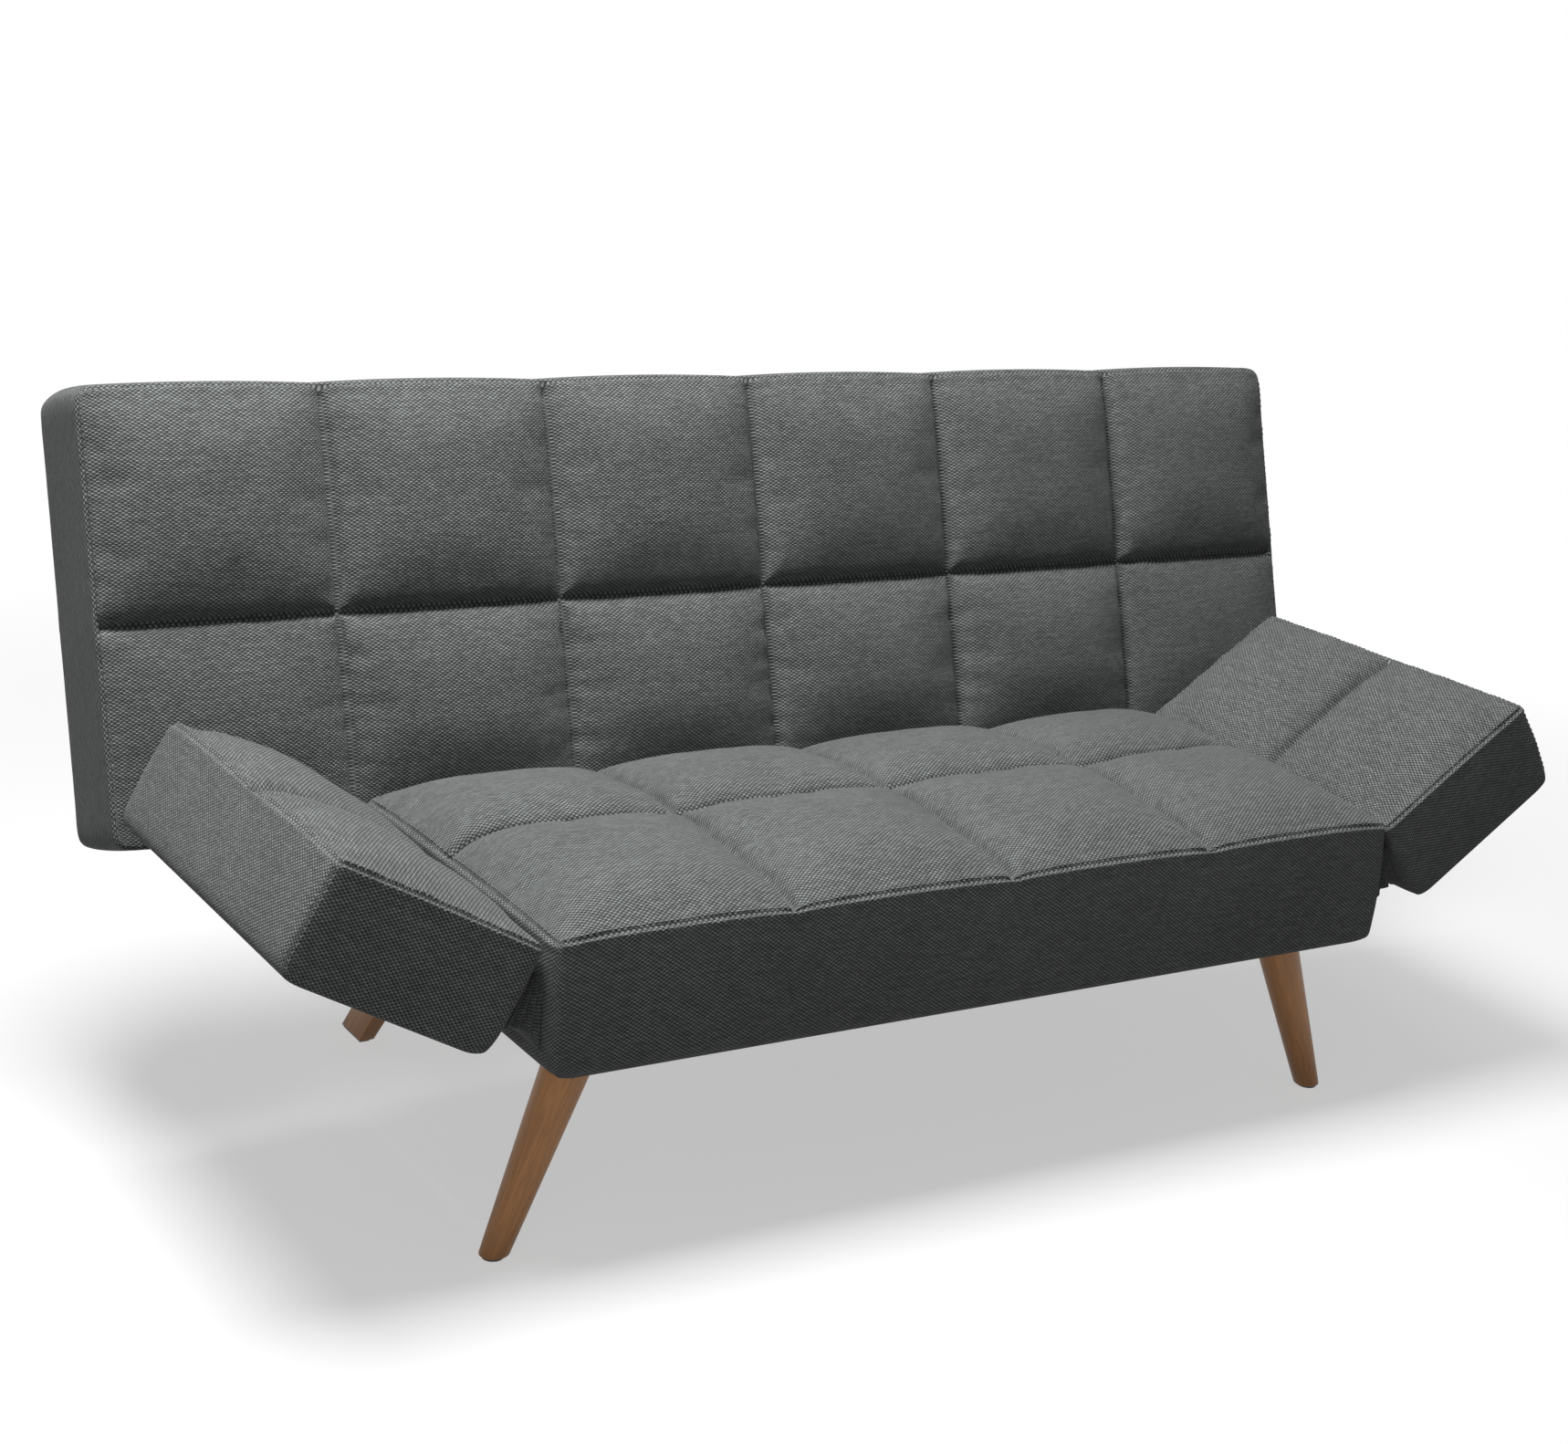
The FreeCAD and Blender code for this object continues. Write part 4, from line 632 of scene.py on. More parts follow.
# Padded pieces
def inflate(obj, held, growth, pressure, cap):
    """Blows the cover up as cloth: its seams are held, it weighs nothing, and no point moves past cap."""
    start = read_points(obj.data)
    group = obj.vertex_groups.new(name="seams")
    group.add(np.flatnonzero(held).tolist(), 1.0, "REPLACE")
    cloth = obj.modifiers.new("Cloth", "CLOTH")
    cloth.settings.quality = 6
    cloth.settings.mass = 0.35
    cloth.settings.tension_stiffness = 14
    cloth.settings.compression_stiffness = 14
    cloth.settings.shear_stiffness = 6
    cloth.settings.bending_stiffness = 1.2
    cloth.settings.air_damping = 2
    cloth.settings.use_pressure = True
    cloth.settings.uniform_pressure_force = pressure
    cloth.settings.vertex_group_mass = group.name
    cloth.settings.shrink_min = -growth
    cloth.settings.effector_weights.gravity = 0
    cloth.collision_settings.use_collision = False
    cloth.point_cache.frame_start = 1
    cloth.point_cache.frame_end = CLOTH_FRAMES
    scene = bpy.context.scene
    for step in range(1, CLOTH_FRAMES + 1):
        scene.frame_set(step)
    shaped = obj.evaluated_get(bpy.context.evaluated_depsgraph_get())
    move = read_points(shaped.data) - start
    obj.modifiers.remove(cloth)
    obj.vertex_groups.remove(group)
    scene.frame_set(1)
    length = np.linalg.norm(move, axis=1, keepdims=True)
    move *= np.minimum(1, cap / np.where(length > 0, length, 1))
    write_points(obj.data, start + move)


def refine(obj):
    """Divides every face in four, smoothing, and keeps the sewing places of the points."""
    divide = obj.modifiers.new("Divide", "SUBSURF")
    divide.levels = 1
    divide.render_levels = 1
    shaped = obj.evaluated_get(bpy.context.evaluated_depsgraph_get())
    finer = bpy.data.meshes.new_from_object(shaped)
    obj.modifiers.remove(divide)
    rough = obj.data
    obj.data = finer
    bpy.data.meshes.remove(rough)


def flat_weave(places, faces, looks):
    """UV in metres: the two flat directions of each face of the box, with floats along its length."""
    uv = np.zeros((len(faces), 4, 2))
    for axis, directions in enumerate(((1, 2), (0, 2), (0, 1))):
        chosen = looks == axis
        uv[chosen] = places[faces[chosen]][:, :, directions]
    return uv


def swept(points, hinge_height, radius):
    """Pulls what lies below the hinge and before it back onto a circle about it."""
    below = points[:, 1]
    before = points[:, 2] - hinge_height
    reach = np.hypot(below, before)
    beyond = (below < 0) & (before > 0) & (reach > radius)
    scale = np.where(beyond, radius / np.where(reach > 0, reach, 1), 1)
    points[:, 1] = below * scale
    points[:, 2] = hinge_height + before * scale
    return points


def flatten_face(points, scale):
    """Scales how far the face stands proud of its edge."""
    proud = points[:, 2] > 0
    points[proud, 2] *= scale[proud]


class Cushion:
    """One sewn cushion: its seams, its swell and its corners, drawn flat.

    columns and rows are the places of its seams, edges included. rises gives, at each row mark, how
    far the end seams, the inner seams and the crowns stand over the edge, and swells how much more
    they stand halfway between two row marks. opening is the hole in its underside.
    """

    # Lattice
    step = 0.013
    close = (0.004, 0.010)

    # Bent shape
    bulge = 0.003
    wall_power = 9
    edge_radius = 0.006
    corner_radii = {}
    fullness = 3.4
    edge_wave = 0.0
    wave_level = 0.6
    wave_power = 5
    top_swell = 0.0

    # Simulation
    slack = 0.72
    growth = 0.012
    pressure = 4.0
    face_cap = 0.009
    wall_cap = 0.0004
    fill = 0.7

    # Sewing
    groove = 0.0120
    groove_width = 0.0058
    groove_power = 1.15
    row_groove = 0.0110
    edge_groove = 0.0020
    edge_groove_width = 0.0022
    ridge = 0.0012
    ridge_place = 0.0055
    ridge_width = 0.0032
    pull_spread = 1.2
    pull_fade = 1.3
    recess = 0.0020
    recess_run = 0.004

    def __init__(self, columns, rows, thickness, rises, swells, opening):
        self.columns = np.array(columns)
        self.rows = np.array(rows)
        self.thickness = thickness
        self.rises = rises
        self.swells = swells
        self.opening = opening
        self.pulls = []

    def heights(self, a, b, share):
        """Height over the edge: the crown's where the column's pillow is one, the seam's at nought."""
        cell, along = cell_place(a, self.columns)
        row, up = cell_place(b, self.rows)
        levels = []
        for rise, swell in zip(self.rises, self.swells):
            rise = np.array(rise)
            straight = rise[row] + (rise[row + 1] - rise[row]) * up
            levels.append(straight + share * swell * pillow(up, self.fullness))
        side, seam, crown = levels
        left = np.where(cell == 0, side, seam)
        right = np.where(cell == len(self.columns) - 2, side, seam)
        base = left + (right - left) * along
        return base + (crown - base) * pillow(along, self.fullness)

    def shape(self, places, share):
        """Bends the flat box onto the cushion: crowned face, bulging walls, rounded corners."""
        a, b, h = places.T
        depth = -h / self.thickness
        belly = 4 * depth * (1 - depth)
        a_mid = (self.columns[0] + self.columns[-1]) / 2
        b_mid = (self.rows[0] + self.rows[-1]) / 2
        half = self.thickness / 2
        sizes = {
            "a": (self.columns[-1] - self.columns[0]) / 2,
            "b": (self.rows[-1] - self.rows[0]) / 2,
            "h": half,
        }
        at = {"a": a - a_mid, "b": b - b_mid, "h": h + half}
        for (first, second), signs, radius in self.corners():
            at[first], at[second] = round_corner(
                at[first], at[second], sizes[first], sizes[second], radius, *signs
            )
        p = at["a"]
        q = at["b"]
        p = p + belly * self.bulge * np.clip(p / sizes["a"], -1, 1) ** self.wall_power
        q = q + belly * self.bulge * np.clip(q / sizes["b"], -1, 1) ** self.wall_power
        q = q + self.top_swell * belly * np.clip(q / sizes["b"], 0, 1) ** self.wall_power
        wave = pillow(cell_place(a, self.columns)[1], 2) - self.wave_level
        q = q + self.edge_wave * wave * np.clip(q / sizes["b"], -1, 1) ** self.wave_power
        lift = self.heights(a, b, share) * (1 - depth)
        return np.stack([p + a_mid, q + b_mid, at["h"] - half + lift], 1)

    def corners(self):
        """The rounded corners: which two directions, which way each, and the radius."""
        found = []
        for pair, radii in self.corner_radii.items():
            for signs, radius in radii.items():
                found.append((pair, signs, radius))
        for sign in (-1, 1):
            found.append(("ah", (sign, 1), self.edge_radius))
            found.append(("bh", (sign, 1), self.edge_radius))
        return found

    def held(self, places):
        """The points that the seams, the edges and the frame hold still."""
        a, b, h = places.T
        seams = seam_distance(a, self.columns) < NEAR
        seams |= seam_distance(b, self.rows) < NEAR
        return ((h > -NEAR) & seams) | (h < -self.thickness * 0.9)

    def wrinkle(self, random, ranges, mark, start, side, strength=1.0, across=True):
        """Adds one pull wrinkle: a valley that starts at a seam and fades away from it.

        across says that it leaves a column seam, along a; otherwise it leaves a row seam, along b.
        """
        length, width, depth, slope = [random.uniform(low, high) for low, high in ranges]
        self.pulls.append((mark, start, side, length, width, strength * depth, slope, across))

    def channel(self, values, marks, depth):
        near = seam_distance(values, marks)
        return depth * np.exp(-((near / self.groove_width) ** self.groove_power))

    def sewn(self, places):
        """How far the seams and the pull wrinkles beside them draw each point in."""
        a, b, h = places.T
        face = h > -NEAR
        drawn = np.where(face, self.channel(a, self.columns[1:-1], self.groove), 0)
        if len(self.rows) > 2:
            row_channel = self.channel(b, self.rows[1:-1], self.row_groove)
            drawn = np.maximum(drawn, np.where(face, row_channel, 0))
        edge = edge_distance(a, b, self.columns[0], self.columns[-1], self.rows[0], self.rows[-1])
        edge = np.where(face, edge, -h)
        drawn += self.edge_groove * np.exp(-((edge / self.edge_groove_width) ** 2))
        drawn -= self.ridge * np.exp(-(((edge - self.ridge_place) / self.ridge_width) ** 2))
        for mark, start, side, length, width, depth, slope, across in self.pulls:
            from_seam, beside = (a, b) if across else (b, a)
            run = side * (from_seam - mark)
            fade = np.clip(1 - run / length, 0, 1) * (run > -0.002)
            spread = width * (1 + self.pull_spread * np.clip(run / length, 0, 1))
            off = (beside - start - slope * run) / spread
            drawn += np.where(face, depth * fade**self.pull_fade * np.exp(-(off**2)), 0)
        return drawn

    def under(self, places, points):
        """Draws the underside in, inside its hem, to make room for the cloth that closes it."""
        a, b, h = places.T
        inside = edge_distance(a, b, *self.opening)
        below = h < -self.thickness + NEAR
        points[:, 2] += np.clip(1 + inside / self.recess_run, 0, 1) * below * self.recess
        return points

    def trim(self, points):
        return points

    def build(self, name, place):
        """Cuts, blows up, refines and sews the cushion, and places it by place(points)."""
        marks = (list(self.columns), list(self.rows), [-self.thickness, 0.0])
        places, faces, looks = box_lattice(*[grid_lines(m, self.step, self.close) for m in marks])
        slack = self.slack
        obj = mesh_object(name, self.shape(places, slack), faces.tolist())
        keep_places(obj.data, places)
        lay_uv(obj.data, flat_weave(places, faces, looks))
        cap = np.where(places[:, 2] > -NEAR, self.face_cap, self.wall_cap)[:, None]
        inflate(obj, self.held(places), self.growth, self.pressure, cap)
        refine(obj)
        mesh = obj.data
        mesh.shade_smooth()
        places = read_places(mesh)
        normals = read_vectors(mesh.vertex_normals)
        points = read_points(mesh) - normals * self.sewn(places)[:, None]
        points = self.trim(self.under(places, points))
        write_points(mesh, place(points))
        dress(obj, slot_finish("woven_cover"))
        return obj


def seam_runs(mesh, picks):
    """Polylines and their normals along sewing lines of a finished cushion.

    Each pick gives what is fixed, as a place for a, b and h with None where the line runs freely,
    and the direction that it runs in.
    """
    places = read_places(mesh)
    points = read_points(mesh)
    normals = read_vectors(mesh.vertex_normals)
    runs = []
    for fixed, axis in picks:
        chosen = np.ones(len(places), bool)
        for k, value in enumerate(fixed):
            if value is not None:
                chosen &= (places[:, k] > value - 2e-5) & (places[:, k] < value + 2e-5)
        index = np.flatnonzero(chosen)
        index = index[np.argsort(places[index, axis], kind="stable")]
        if len(index) > 3:
            runs.append((points[index], normals[index]))
    return runs


def stitch_shape(length, radius):
    """One stitch: a thread with six sides that dives into the cloth at both ends."""
    sides = 6
    along = np.linspace(-0.5, 0.5, 7)
    turn = np.arange(sides) / sides * 2 * math.pi
    thick = radius * np.array([0.35, 0.85, 1, 1, 1, 0.85, 0.35])
    lift = radius * 1.5 * (1 - (2 * along) ** 4) - radius * 0.9
    x = np.repeat(along * length, sides)
    y = (thick[:, None] * np.cos(turn)[None, :]).ravel()
    z = (thick[:, None] * np.sin(turn)[None, :] + lift[:, None]).ravel()
    points = np.stack([x, y, z], 1)
    walls = other_way(grid_quads(ring_numbers(points, sides))).tolist()
    points = np.concatenate([points, points[:sides].mean(0)[None], points[-sides:].mean(0)[None]])
    first, last = len(points) - 2, len(points) - 1
    base = first - sides
    ends = []
    for k in range(sides):
        ends.append((first, (k + 1) % sides, k))
        ends.append((last, base + k, base + (k + 1) % sides))
    return points, walls + ends


def sample(places, arc, values):
    """The values at these places along the arc."""
    return np.stack([np.interp(places, arc, values[:, k]) for k in range(3)], 1)


def stitching(name, runs, body, pitch=0.0085, length=0.0062, radius=0.00055):
    """Stitches along the runs, set by arc length, each turned to its run and to the cloth's normal."""
    shape, faces = stitch_shape(length, radius)
    all_points = []
    all_faces = []
    count = 0
    for points, normals in runs:
        step = np.linalg.norm(np.diff(points, axis=0), axis=1)
        keep = np.concatenate([[True], step > NEAR])
        points = points[keep]
        normals = normals[keep]
        arc = np.concatenate([[0], np.cumsum(np.linalg.norm(np.diff(points, axis=0), axis=1))])
        places = np.arange(pitch, arc[-1] - pitch / 2, pitch)
        centre = sample(places, arc, points)
        run = unit(sample(places + length / 2, arc, points) - sample(places - length / 2, arc, points))
        side = unit(np.cross(unit(sample(places, arc, normals)), run))
        axes = np.stack([run, side, np.cross(run, side)], 1)
        made = np.einsum("pk,nkj->npj", shape, axes) + centre[:, None, :]
        offsets = count + len(shape) * np.arange(len(centre))
        for face in faces:
            all_faces += (offsets[:, None] + np.array(face)[None, :]).tolist()
        all_points.append(made.reshape(-1, 3))
        count += len(shape) * len(centre)
    obj = mesh_object(name, np.concatenate(all_points), all_faces)
    dress(obj, material_of("thread", thread))
    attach(obj, body)
    return obj


# Places in the frame
def hinge_place(name):
    joint = next(j for j in frame["joints"] if j["name"] == name)
    return joint["pos_m"]


def seat_front():
    """Y of the seat's front face: its cover is the frame's own."""
    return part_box("seat_cover")[0].y


def arm_front():
    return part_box("arm_cover_right")[0].y


def arm_side(side):
    """The word for a side, and the angle at which its arm stands."""
    s = bpy.context.scene.sofa_arm
    return ("right", s.rise_right) if side > 0 else ("left", s.rise_left)


def seat_place(points):
    moved = points.copy()
    moved[:, 2] += bpy.context.scene.sofa_seat.edge
    return moved


def back_place(points):
    """From the back's own directions, level with its hinge, to the leaning back."""
    s = bpy.context.scene.sofa_back
    hinge = np.array([0, *hinge_place("back_recline")[1:]])
    up = np.array([0, math.sin(s.recline), math.cos(s.recline)])
    out = np.array([0, -math.cos(s.recline), math.sin(s.recline)])
    along = points[:, :1] * np.array([[1.0, 0, 0]])
    return hinge + along + points[:, 1:2] * up + (points[:, 2:3] + s.hinge_inset) * out


def arm_place(side):
    """Turns an arm that is drawn flat up about its hinge."""
    s = bpy.context.scene.sofa_arm
    label, angle = arm_side(side)
    hinge = hinge_place(label + "_arm_tilt")
    middle = arm_front() + s.depth / 2

    def place(points):
        out = points[:, 1]
        up = points[:, 2] + s.hinge_inset
        x = abs(hinge[0]) + out * math.cos(angle) - up * math.sin(angle)
        z = hinge[2] + out * math.sin(angle) + up * math.cos(angle)
        return np.stack([side * x, middle - side * points[:, 0], z], 1)

    return place


def seat_opening():
    """The hole in the seat's underside that its dust cloth closes, inside the cover's hem."""
    s = bpy.context.scene.sofa_seat
    front = seat_front() + s.hem
    return (s.hem - s.width / 2, s.width / 2 - s.hem, front, seat_front() + s.depth - s.hem)


def back_opening():
    """The hole in the back's rear face that its rear cloth closes, from the hinge up."""
    s = bpy.context.scene.sofa_back
    half = s.width / 2 - s.side_hem
    return (-half, half, s.low_hem - s.hinge_inset, s.height - s.hinge_inset - s.high_hem)


def arm_opening():
    """The hole in an arm's underside that its base cloth closes."""
    s = bpy.context.scene.sofa_arm
    half = s.depth / 2 - s.end_hem
    return (-half, half, s.inner_hem - s.hinge_inset, s.length - s.hinge_inset - s.outer_hem)


# Seat
class SeatCushion(Cushion):
    corner_radii = {
        "ah": {(-1, -1): 0.026, (1, -1): 0.026},
        "bh": {(-1, -1): 0.013, (1, -1): 0.010},
        "ab": {(-1, -1): 0.016, (1, -1): 0.016, (-1, 1): 0.012, (1, 1): 0.012},
    }


def seat_cushion():
    s = bpy.context.scene.sofa_seat
    half = s.width / 2 - Cushion.bulge
    front = seat_front() + Cushion.bulge
    middle = seat_front() + s.front_row
    rear = seat_front() + s.depth - Cushion.bulge
    columns = [-half, -s.column, 0.0, s.column, half]
    cushion = SeatCushion(
        columns,
        [front, middle, rear],
        s.edge - s.bottom,
        [(0.001, 0.004, 0.001), (0.003, 0.027, 0.003), (0.007, 0.031, 0.006)],
        [0.002, 0.013, s.crown],
        seat_opening(),
    )
    random = np.random.default_rng(11)
    for mark in columns[1:-1]:
        for row_start, row_end in ((front, front + s.front_row), (front + s.front_row, rear)):
            for side in (-1, 1):
                for place in random.uniform(row_start + 0.03, row_end - 0.02, 3):
                    cushion.wrinkle(random, SEAT_COLUMN_PULLS, mark, place, side)
    for mark in (columns[0] + 0.02, *columns[1:-1], columns[-1] - 0.02):
        for side in (-1, 1):
            for place in random.uniform(mark - 0.05, mark + 0.05, 3):
                cushion.wrinkle(random, SEAT_ROW_PULLS, middle, place, side, across=False)

    obj = cushion.build("seat_cushion", seat_place)
    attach(obj, "seat")
    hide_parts("seat_cover", "seat_foam")
    near = Cushion.close[0]
    picks = [
        ((None, front + near, 0.0), 0),
        ((None, front, -near), 0),
        ((columns[0] + near, None, 0.0), 1),
        ((columns[-1] - near, None, 0.0), 1),
    ]
    stitching("seat_stitching", seam_runs(obj.data, picks), "seat")


# Back
class BackCushion(Cushion):
    corner_radii = {
        "bh": {(-1, -1): 0.025, (1, -1): 0.035},
        "ab": {(-1, -1): 0.018, (1, -1): 0.018, (-1, 1): 0.018, (1, 1): 0.018},
        "ah": {(-1, -1): 0.030, (1, -1): 0.030},
    }
    sweep = 0.0335
    edge_wave = 0.0035
    row_groove = 0.0120
    top_swell = 0.006
    beside_arm = 0.55
    seat_reach = 0.10
    foot_tuck = 0.8

    def trim(self, points):
        """Flattens the cells behind the arms and the foot behind the seat, and keeps it in its circle."""
        up = points[:, 1]
        behind_arm = (np.abs(points[:, 0]) > self.columns[-2]) & (up < self.rows[1])
        scale = np.where(behind_arm, self.beside_arm, 1.0)
        scale *= 1 - self.foot_tuck * (1 - np.clip(up / self.seat_reach, 0, 1)) ** 1.5
        flatten_face(points, scale)
        return swept(points, -bpy.context.scene.sofa_back.hinge_inset, self.sweep)


def back_cushion():
    s = bpy.context.scene.sofa_back
    column = bpy.context.scene.sofa_seat.column
    half = s.width / 2 - Cushion.bulge
    low = -s.hinge_inset + Cushion.bulge
    high = s.height - s.hinge_inset - Cushion.bulge
    seam = s.lower_row - s.hinge_inset
    columns = [-half] + [column * k for k in range(-2, 3)] + [half]
    cushion = BackCushion(
        columns,
        [low, seam, high],
        s.thickness,
        [(0.0005, 0.0005, 0.0005), (0.0005, 0.0005, 0.0005), (0.0025, 0.004, 0.003)],
        [0.001, 0.006, s.crown],
        back_opening(),
    )
    random = np.random.default_rng(5)
    for number, mark in enumerate(columns[1:-1]):
        strength = 1.0 if number in (1, 2, 3) else 0.55
        for side in (-1, 1):
            for place in np.linspace(low + 0.05, seam - 0.05, 6):
                place += random.uniform(-0.012, 0.012)
                cushion.wrinkle(random, BACK_LOWER_PULLS, mark, place, side, strength)
            for place in random.uniform(seam + 0.03, high - 0.05, 3):
                cushion.wrinkle(random, BACK_UPPER_PULLS, mark, place, side)
    obj = cushion.build("back_cushion", back_place)
    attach(obj, "back")
    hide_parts("back_cover", "back_foam")
    near = Cushion.close[0]
    picks = [
        ((None, high - near, 0.0), 0),
        ((None, low + near, 0.0), 0),
        ((columns[0] + near, None, 0.0), 1),
        ((columns[-1] - near, None, 0.0), 1),
    ]
    stitching("back_stitching", seam_runs(obj.data, picks), "back", length=0.005, radius=0.00045)


# Arms
class ArmCushion(Cushion):
    bulge = 0.0022
    fullness = 2.0
    face_cap = 0.005
    corner_radii = {
        "bh": {(-1, -1): 0.025, (1, -1): 0.020},
        "ab": {(-1, -1): 0.010, (1, -1): 0.010, (-1, 1): 0.010, (1, 1): 0.010},
    }
    sweep = 0.0158
    outer_swell = 0.42
    swell_start = 0.06
    swell_run = 0.12

    def trim(self, points):
        """Fills the outer half more, and keeps the top of the inner end in the circle that it sweeps."""
        out = np.clip((points[:, 1] - self.swell_start) / self.swell_run, 0, 1)
        flatten_face(points, 1 + self.outer_swell * out * out * (3 - 2 * out))
        return swept(points, -bpy.context.scene.sofa_arm.hinge_inset, self.sweep)


def arm_cushion(side):
    s = bpy.context.scene.sofa_arm
    label = arm_side(side)[0]
    half = s.depth / 2 - Cushion.bulge
    low = -s.hinge_inset
    high = s.length - s.hinge_inset - Cushion.bulge
    cushion = ArmCushion(
        [-half, 0.0, half],
        [low, high],
        s.thickness,
        [(0.0005, 0.0005), (0.001, 0.001), (0.003, 0.003)],
        [0.002, 0.007, s.crown],
        arm_opening(),
    )
    random = np.random.default_rng(23 + side)
    for way in (-1, 1):
        for place in np.linspace(low + 0.03, high - 0.04, 5):
            place += random.uniform(-0.012, 0.012)
            cushion.wrinkle(random, ARM_SEAM_PULLS, 0.0, place, way)
        for place in random.uniform(-half + 0.04, half - 0.04, 5):
            cushion.wrinkle(random, ARM_HINGE_PULLS, low, place, 1, across=False)
    obj = cushion.build("arm_cushion_" + label, arm_place(side))
    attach(obj, label + "_arm")
    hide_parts("arm_cover_" + label, "arm_foam_" + label)
    near = Cushion.close[0]
    front = side * half
    picks = [((None, high - near, 0.0), 0), ((None, high, -near), 0)]
    for end in (front, -front):
        picks += [((end - math.copysign(near, end), None, 0.0), 1), ((end, None, -near), 1)]
    picks += [((front, high - near, None), 2), ((front - side * near, high, None), 2)]
    stitching("arm_stitching_" + label, seam_runs(obj.data, picks), label + "_arm")


# Flat cloths
def closing_cloth(name, opening, place, node, body, slot, depth, sag, notches=()):
    """A cloth over an opening: its edge is tacked flat, and its middle hangs out by the sag.

    The hollow is the product of two half sine waves to the power 0.7, with small ripples beside the
    tacked edge. Notches are rectangles that are cut out of it.
    """
    low_a, high_a, low_b, high_b = opening
    low_a, high_a, low_b, high_b = low_a - TUCK, high_a + TUCK, low_b - TUCK, high_b + TUCK
    a_marks = sorted({low_a, high_a, *[v for n in notches for v in n[:2] if low_a < v < high_a]})
    b_marks = sorted({low_b, high_b, *[v for n in notches for v in n[2:] if low_b < v < high_b]})
    a_lines, b_lines = [grid_lines(marks, CLOTH_STEP, (0.003,)) for marks in (a_marks, b_marks)]
    a, b = [v.ravel() for v in np.meshgrid(a_lines, b_lines, indexing="ij")]
    across = (a - low_a) / (high_a - low_a)
    along = (b - low_b) / (high_b - low_b)
    hollow = np.clip(np.sin(math.pi * across) * np.sin(math.pi * along), 0, 1) ** 0.7
    edge = edge_distance(a, b, low_a, high_a, low_b, high_b)
    near = np.clip(edge / 0.01, 0, 1) * np.exp(-edge / 0.05)
    ripple = np.sin(a * 2 * math.pi / 0.061 + 2 * np.sin(b * 31)) * np.sin(b * 2 * math.pi / 0.083 + 1)
    h = -depth - sag * hollow - 0.0006 * near * ripple

    quads = other_way(grid_quads(np.arange(len(a)).reshape(len(a_lines), len(b_lines))))
    middle_a = a[quads].mean(1)
    middle_b = b[quads].mean(1)
    kept = np.ones(len(quads), bool)
    for n_low_a, n_high_a, n_low_b, n_high_b in notches:
        kept &= edge_distance(middle_a, middle_b, n_low_a, n_high_a, n_low_b, n_high_b) <= 0
    quads = quads[kept]
    used = np.unique(quads)
    fresh = np.zeros(len(a), int)
    fresh[used] = np.arange(len(used))
    flat = np.stack([a, b, h], 1)
    obj = mesh_object(name, place(flat[used]), fresh[quads].tolist())
    lay_uv(obj.data, flat[:, :2][quads])
    dress(obj, slot_finish(slot))
    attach(obj, body)
    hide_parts(node)


def dust_cloth():
    """The seat's dust cloth, cut out round the bearers and the front legs' plates."""
    seat = bpy.context.scene.sofa_seat
    bearer_low, bearer_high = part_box("base_bearer_right")
    plate_low, plate_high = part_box("leg_plates")
    past_rear = 1.0
    notches = []
    for sign in (-1, 1):
        xs = sorted((sign * (bearer_low.x - NOTCH_GAP), sign * (bearer_high.x + NOTCH_GAP)))
        notches.append((*xs, bearer_low.y - NOTCH_GAP, past_rear))
        xs = sorted((sign * (plate_high.x - LEG_PLATE - NOTCH_GAP), sign * (plate_high.x + NOTCH_GAP)))
        notches.append((*xs, plate_low.y - NOTCH_GAP, plate_low.y + LEG_PLATE + NOTCH_GAP))
    closing_cloth(
        "dust_cloth",
        seat_opening(),
        seat_place,
        "seat_dust_cloth",
        "seat",
        "dust_cloth",
        depth=seat.edge - seat.bottom - 0.001,
        sag=0.0035,
        notches=notches,
    )


def rear_cloth():
    closing_cloth(
        "rear_cloth",
        back_opening(),
        back_place,
        "back_rear_cloth",
        "back",
        "rear_cloth",
        depth=bpy.context.scene.sofa_back.thickness - 0.0015,
        sag=0.001,
    )


def arm_base_cloth(side):
    label = arm_side(side)[0]
    closing_cloth(
        "base_cloth_" + label,
        arm_opening(),
        arm_place(side),
        "arm_base_cloth_" + label,
        label + "_arm",
        "dust_cloth",
        depth=bpy.context.scene.sofa_arm.thickness - 0.0015,
        sag=0.001,
    )


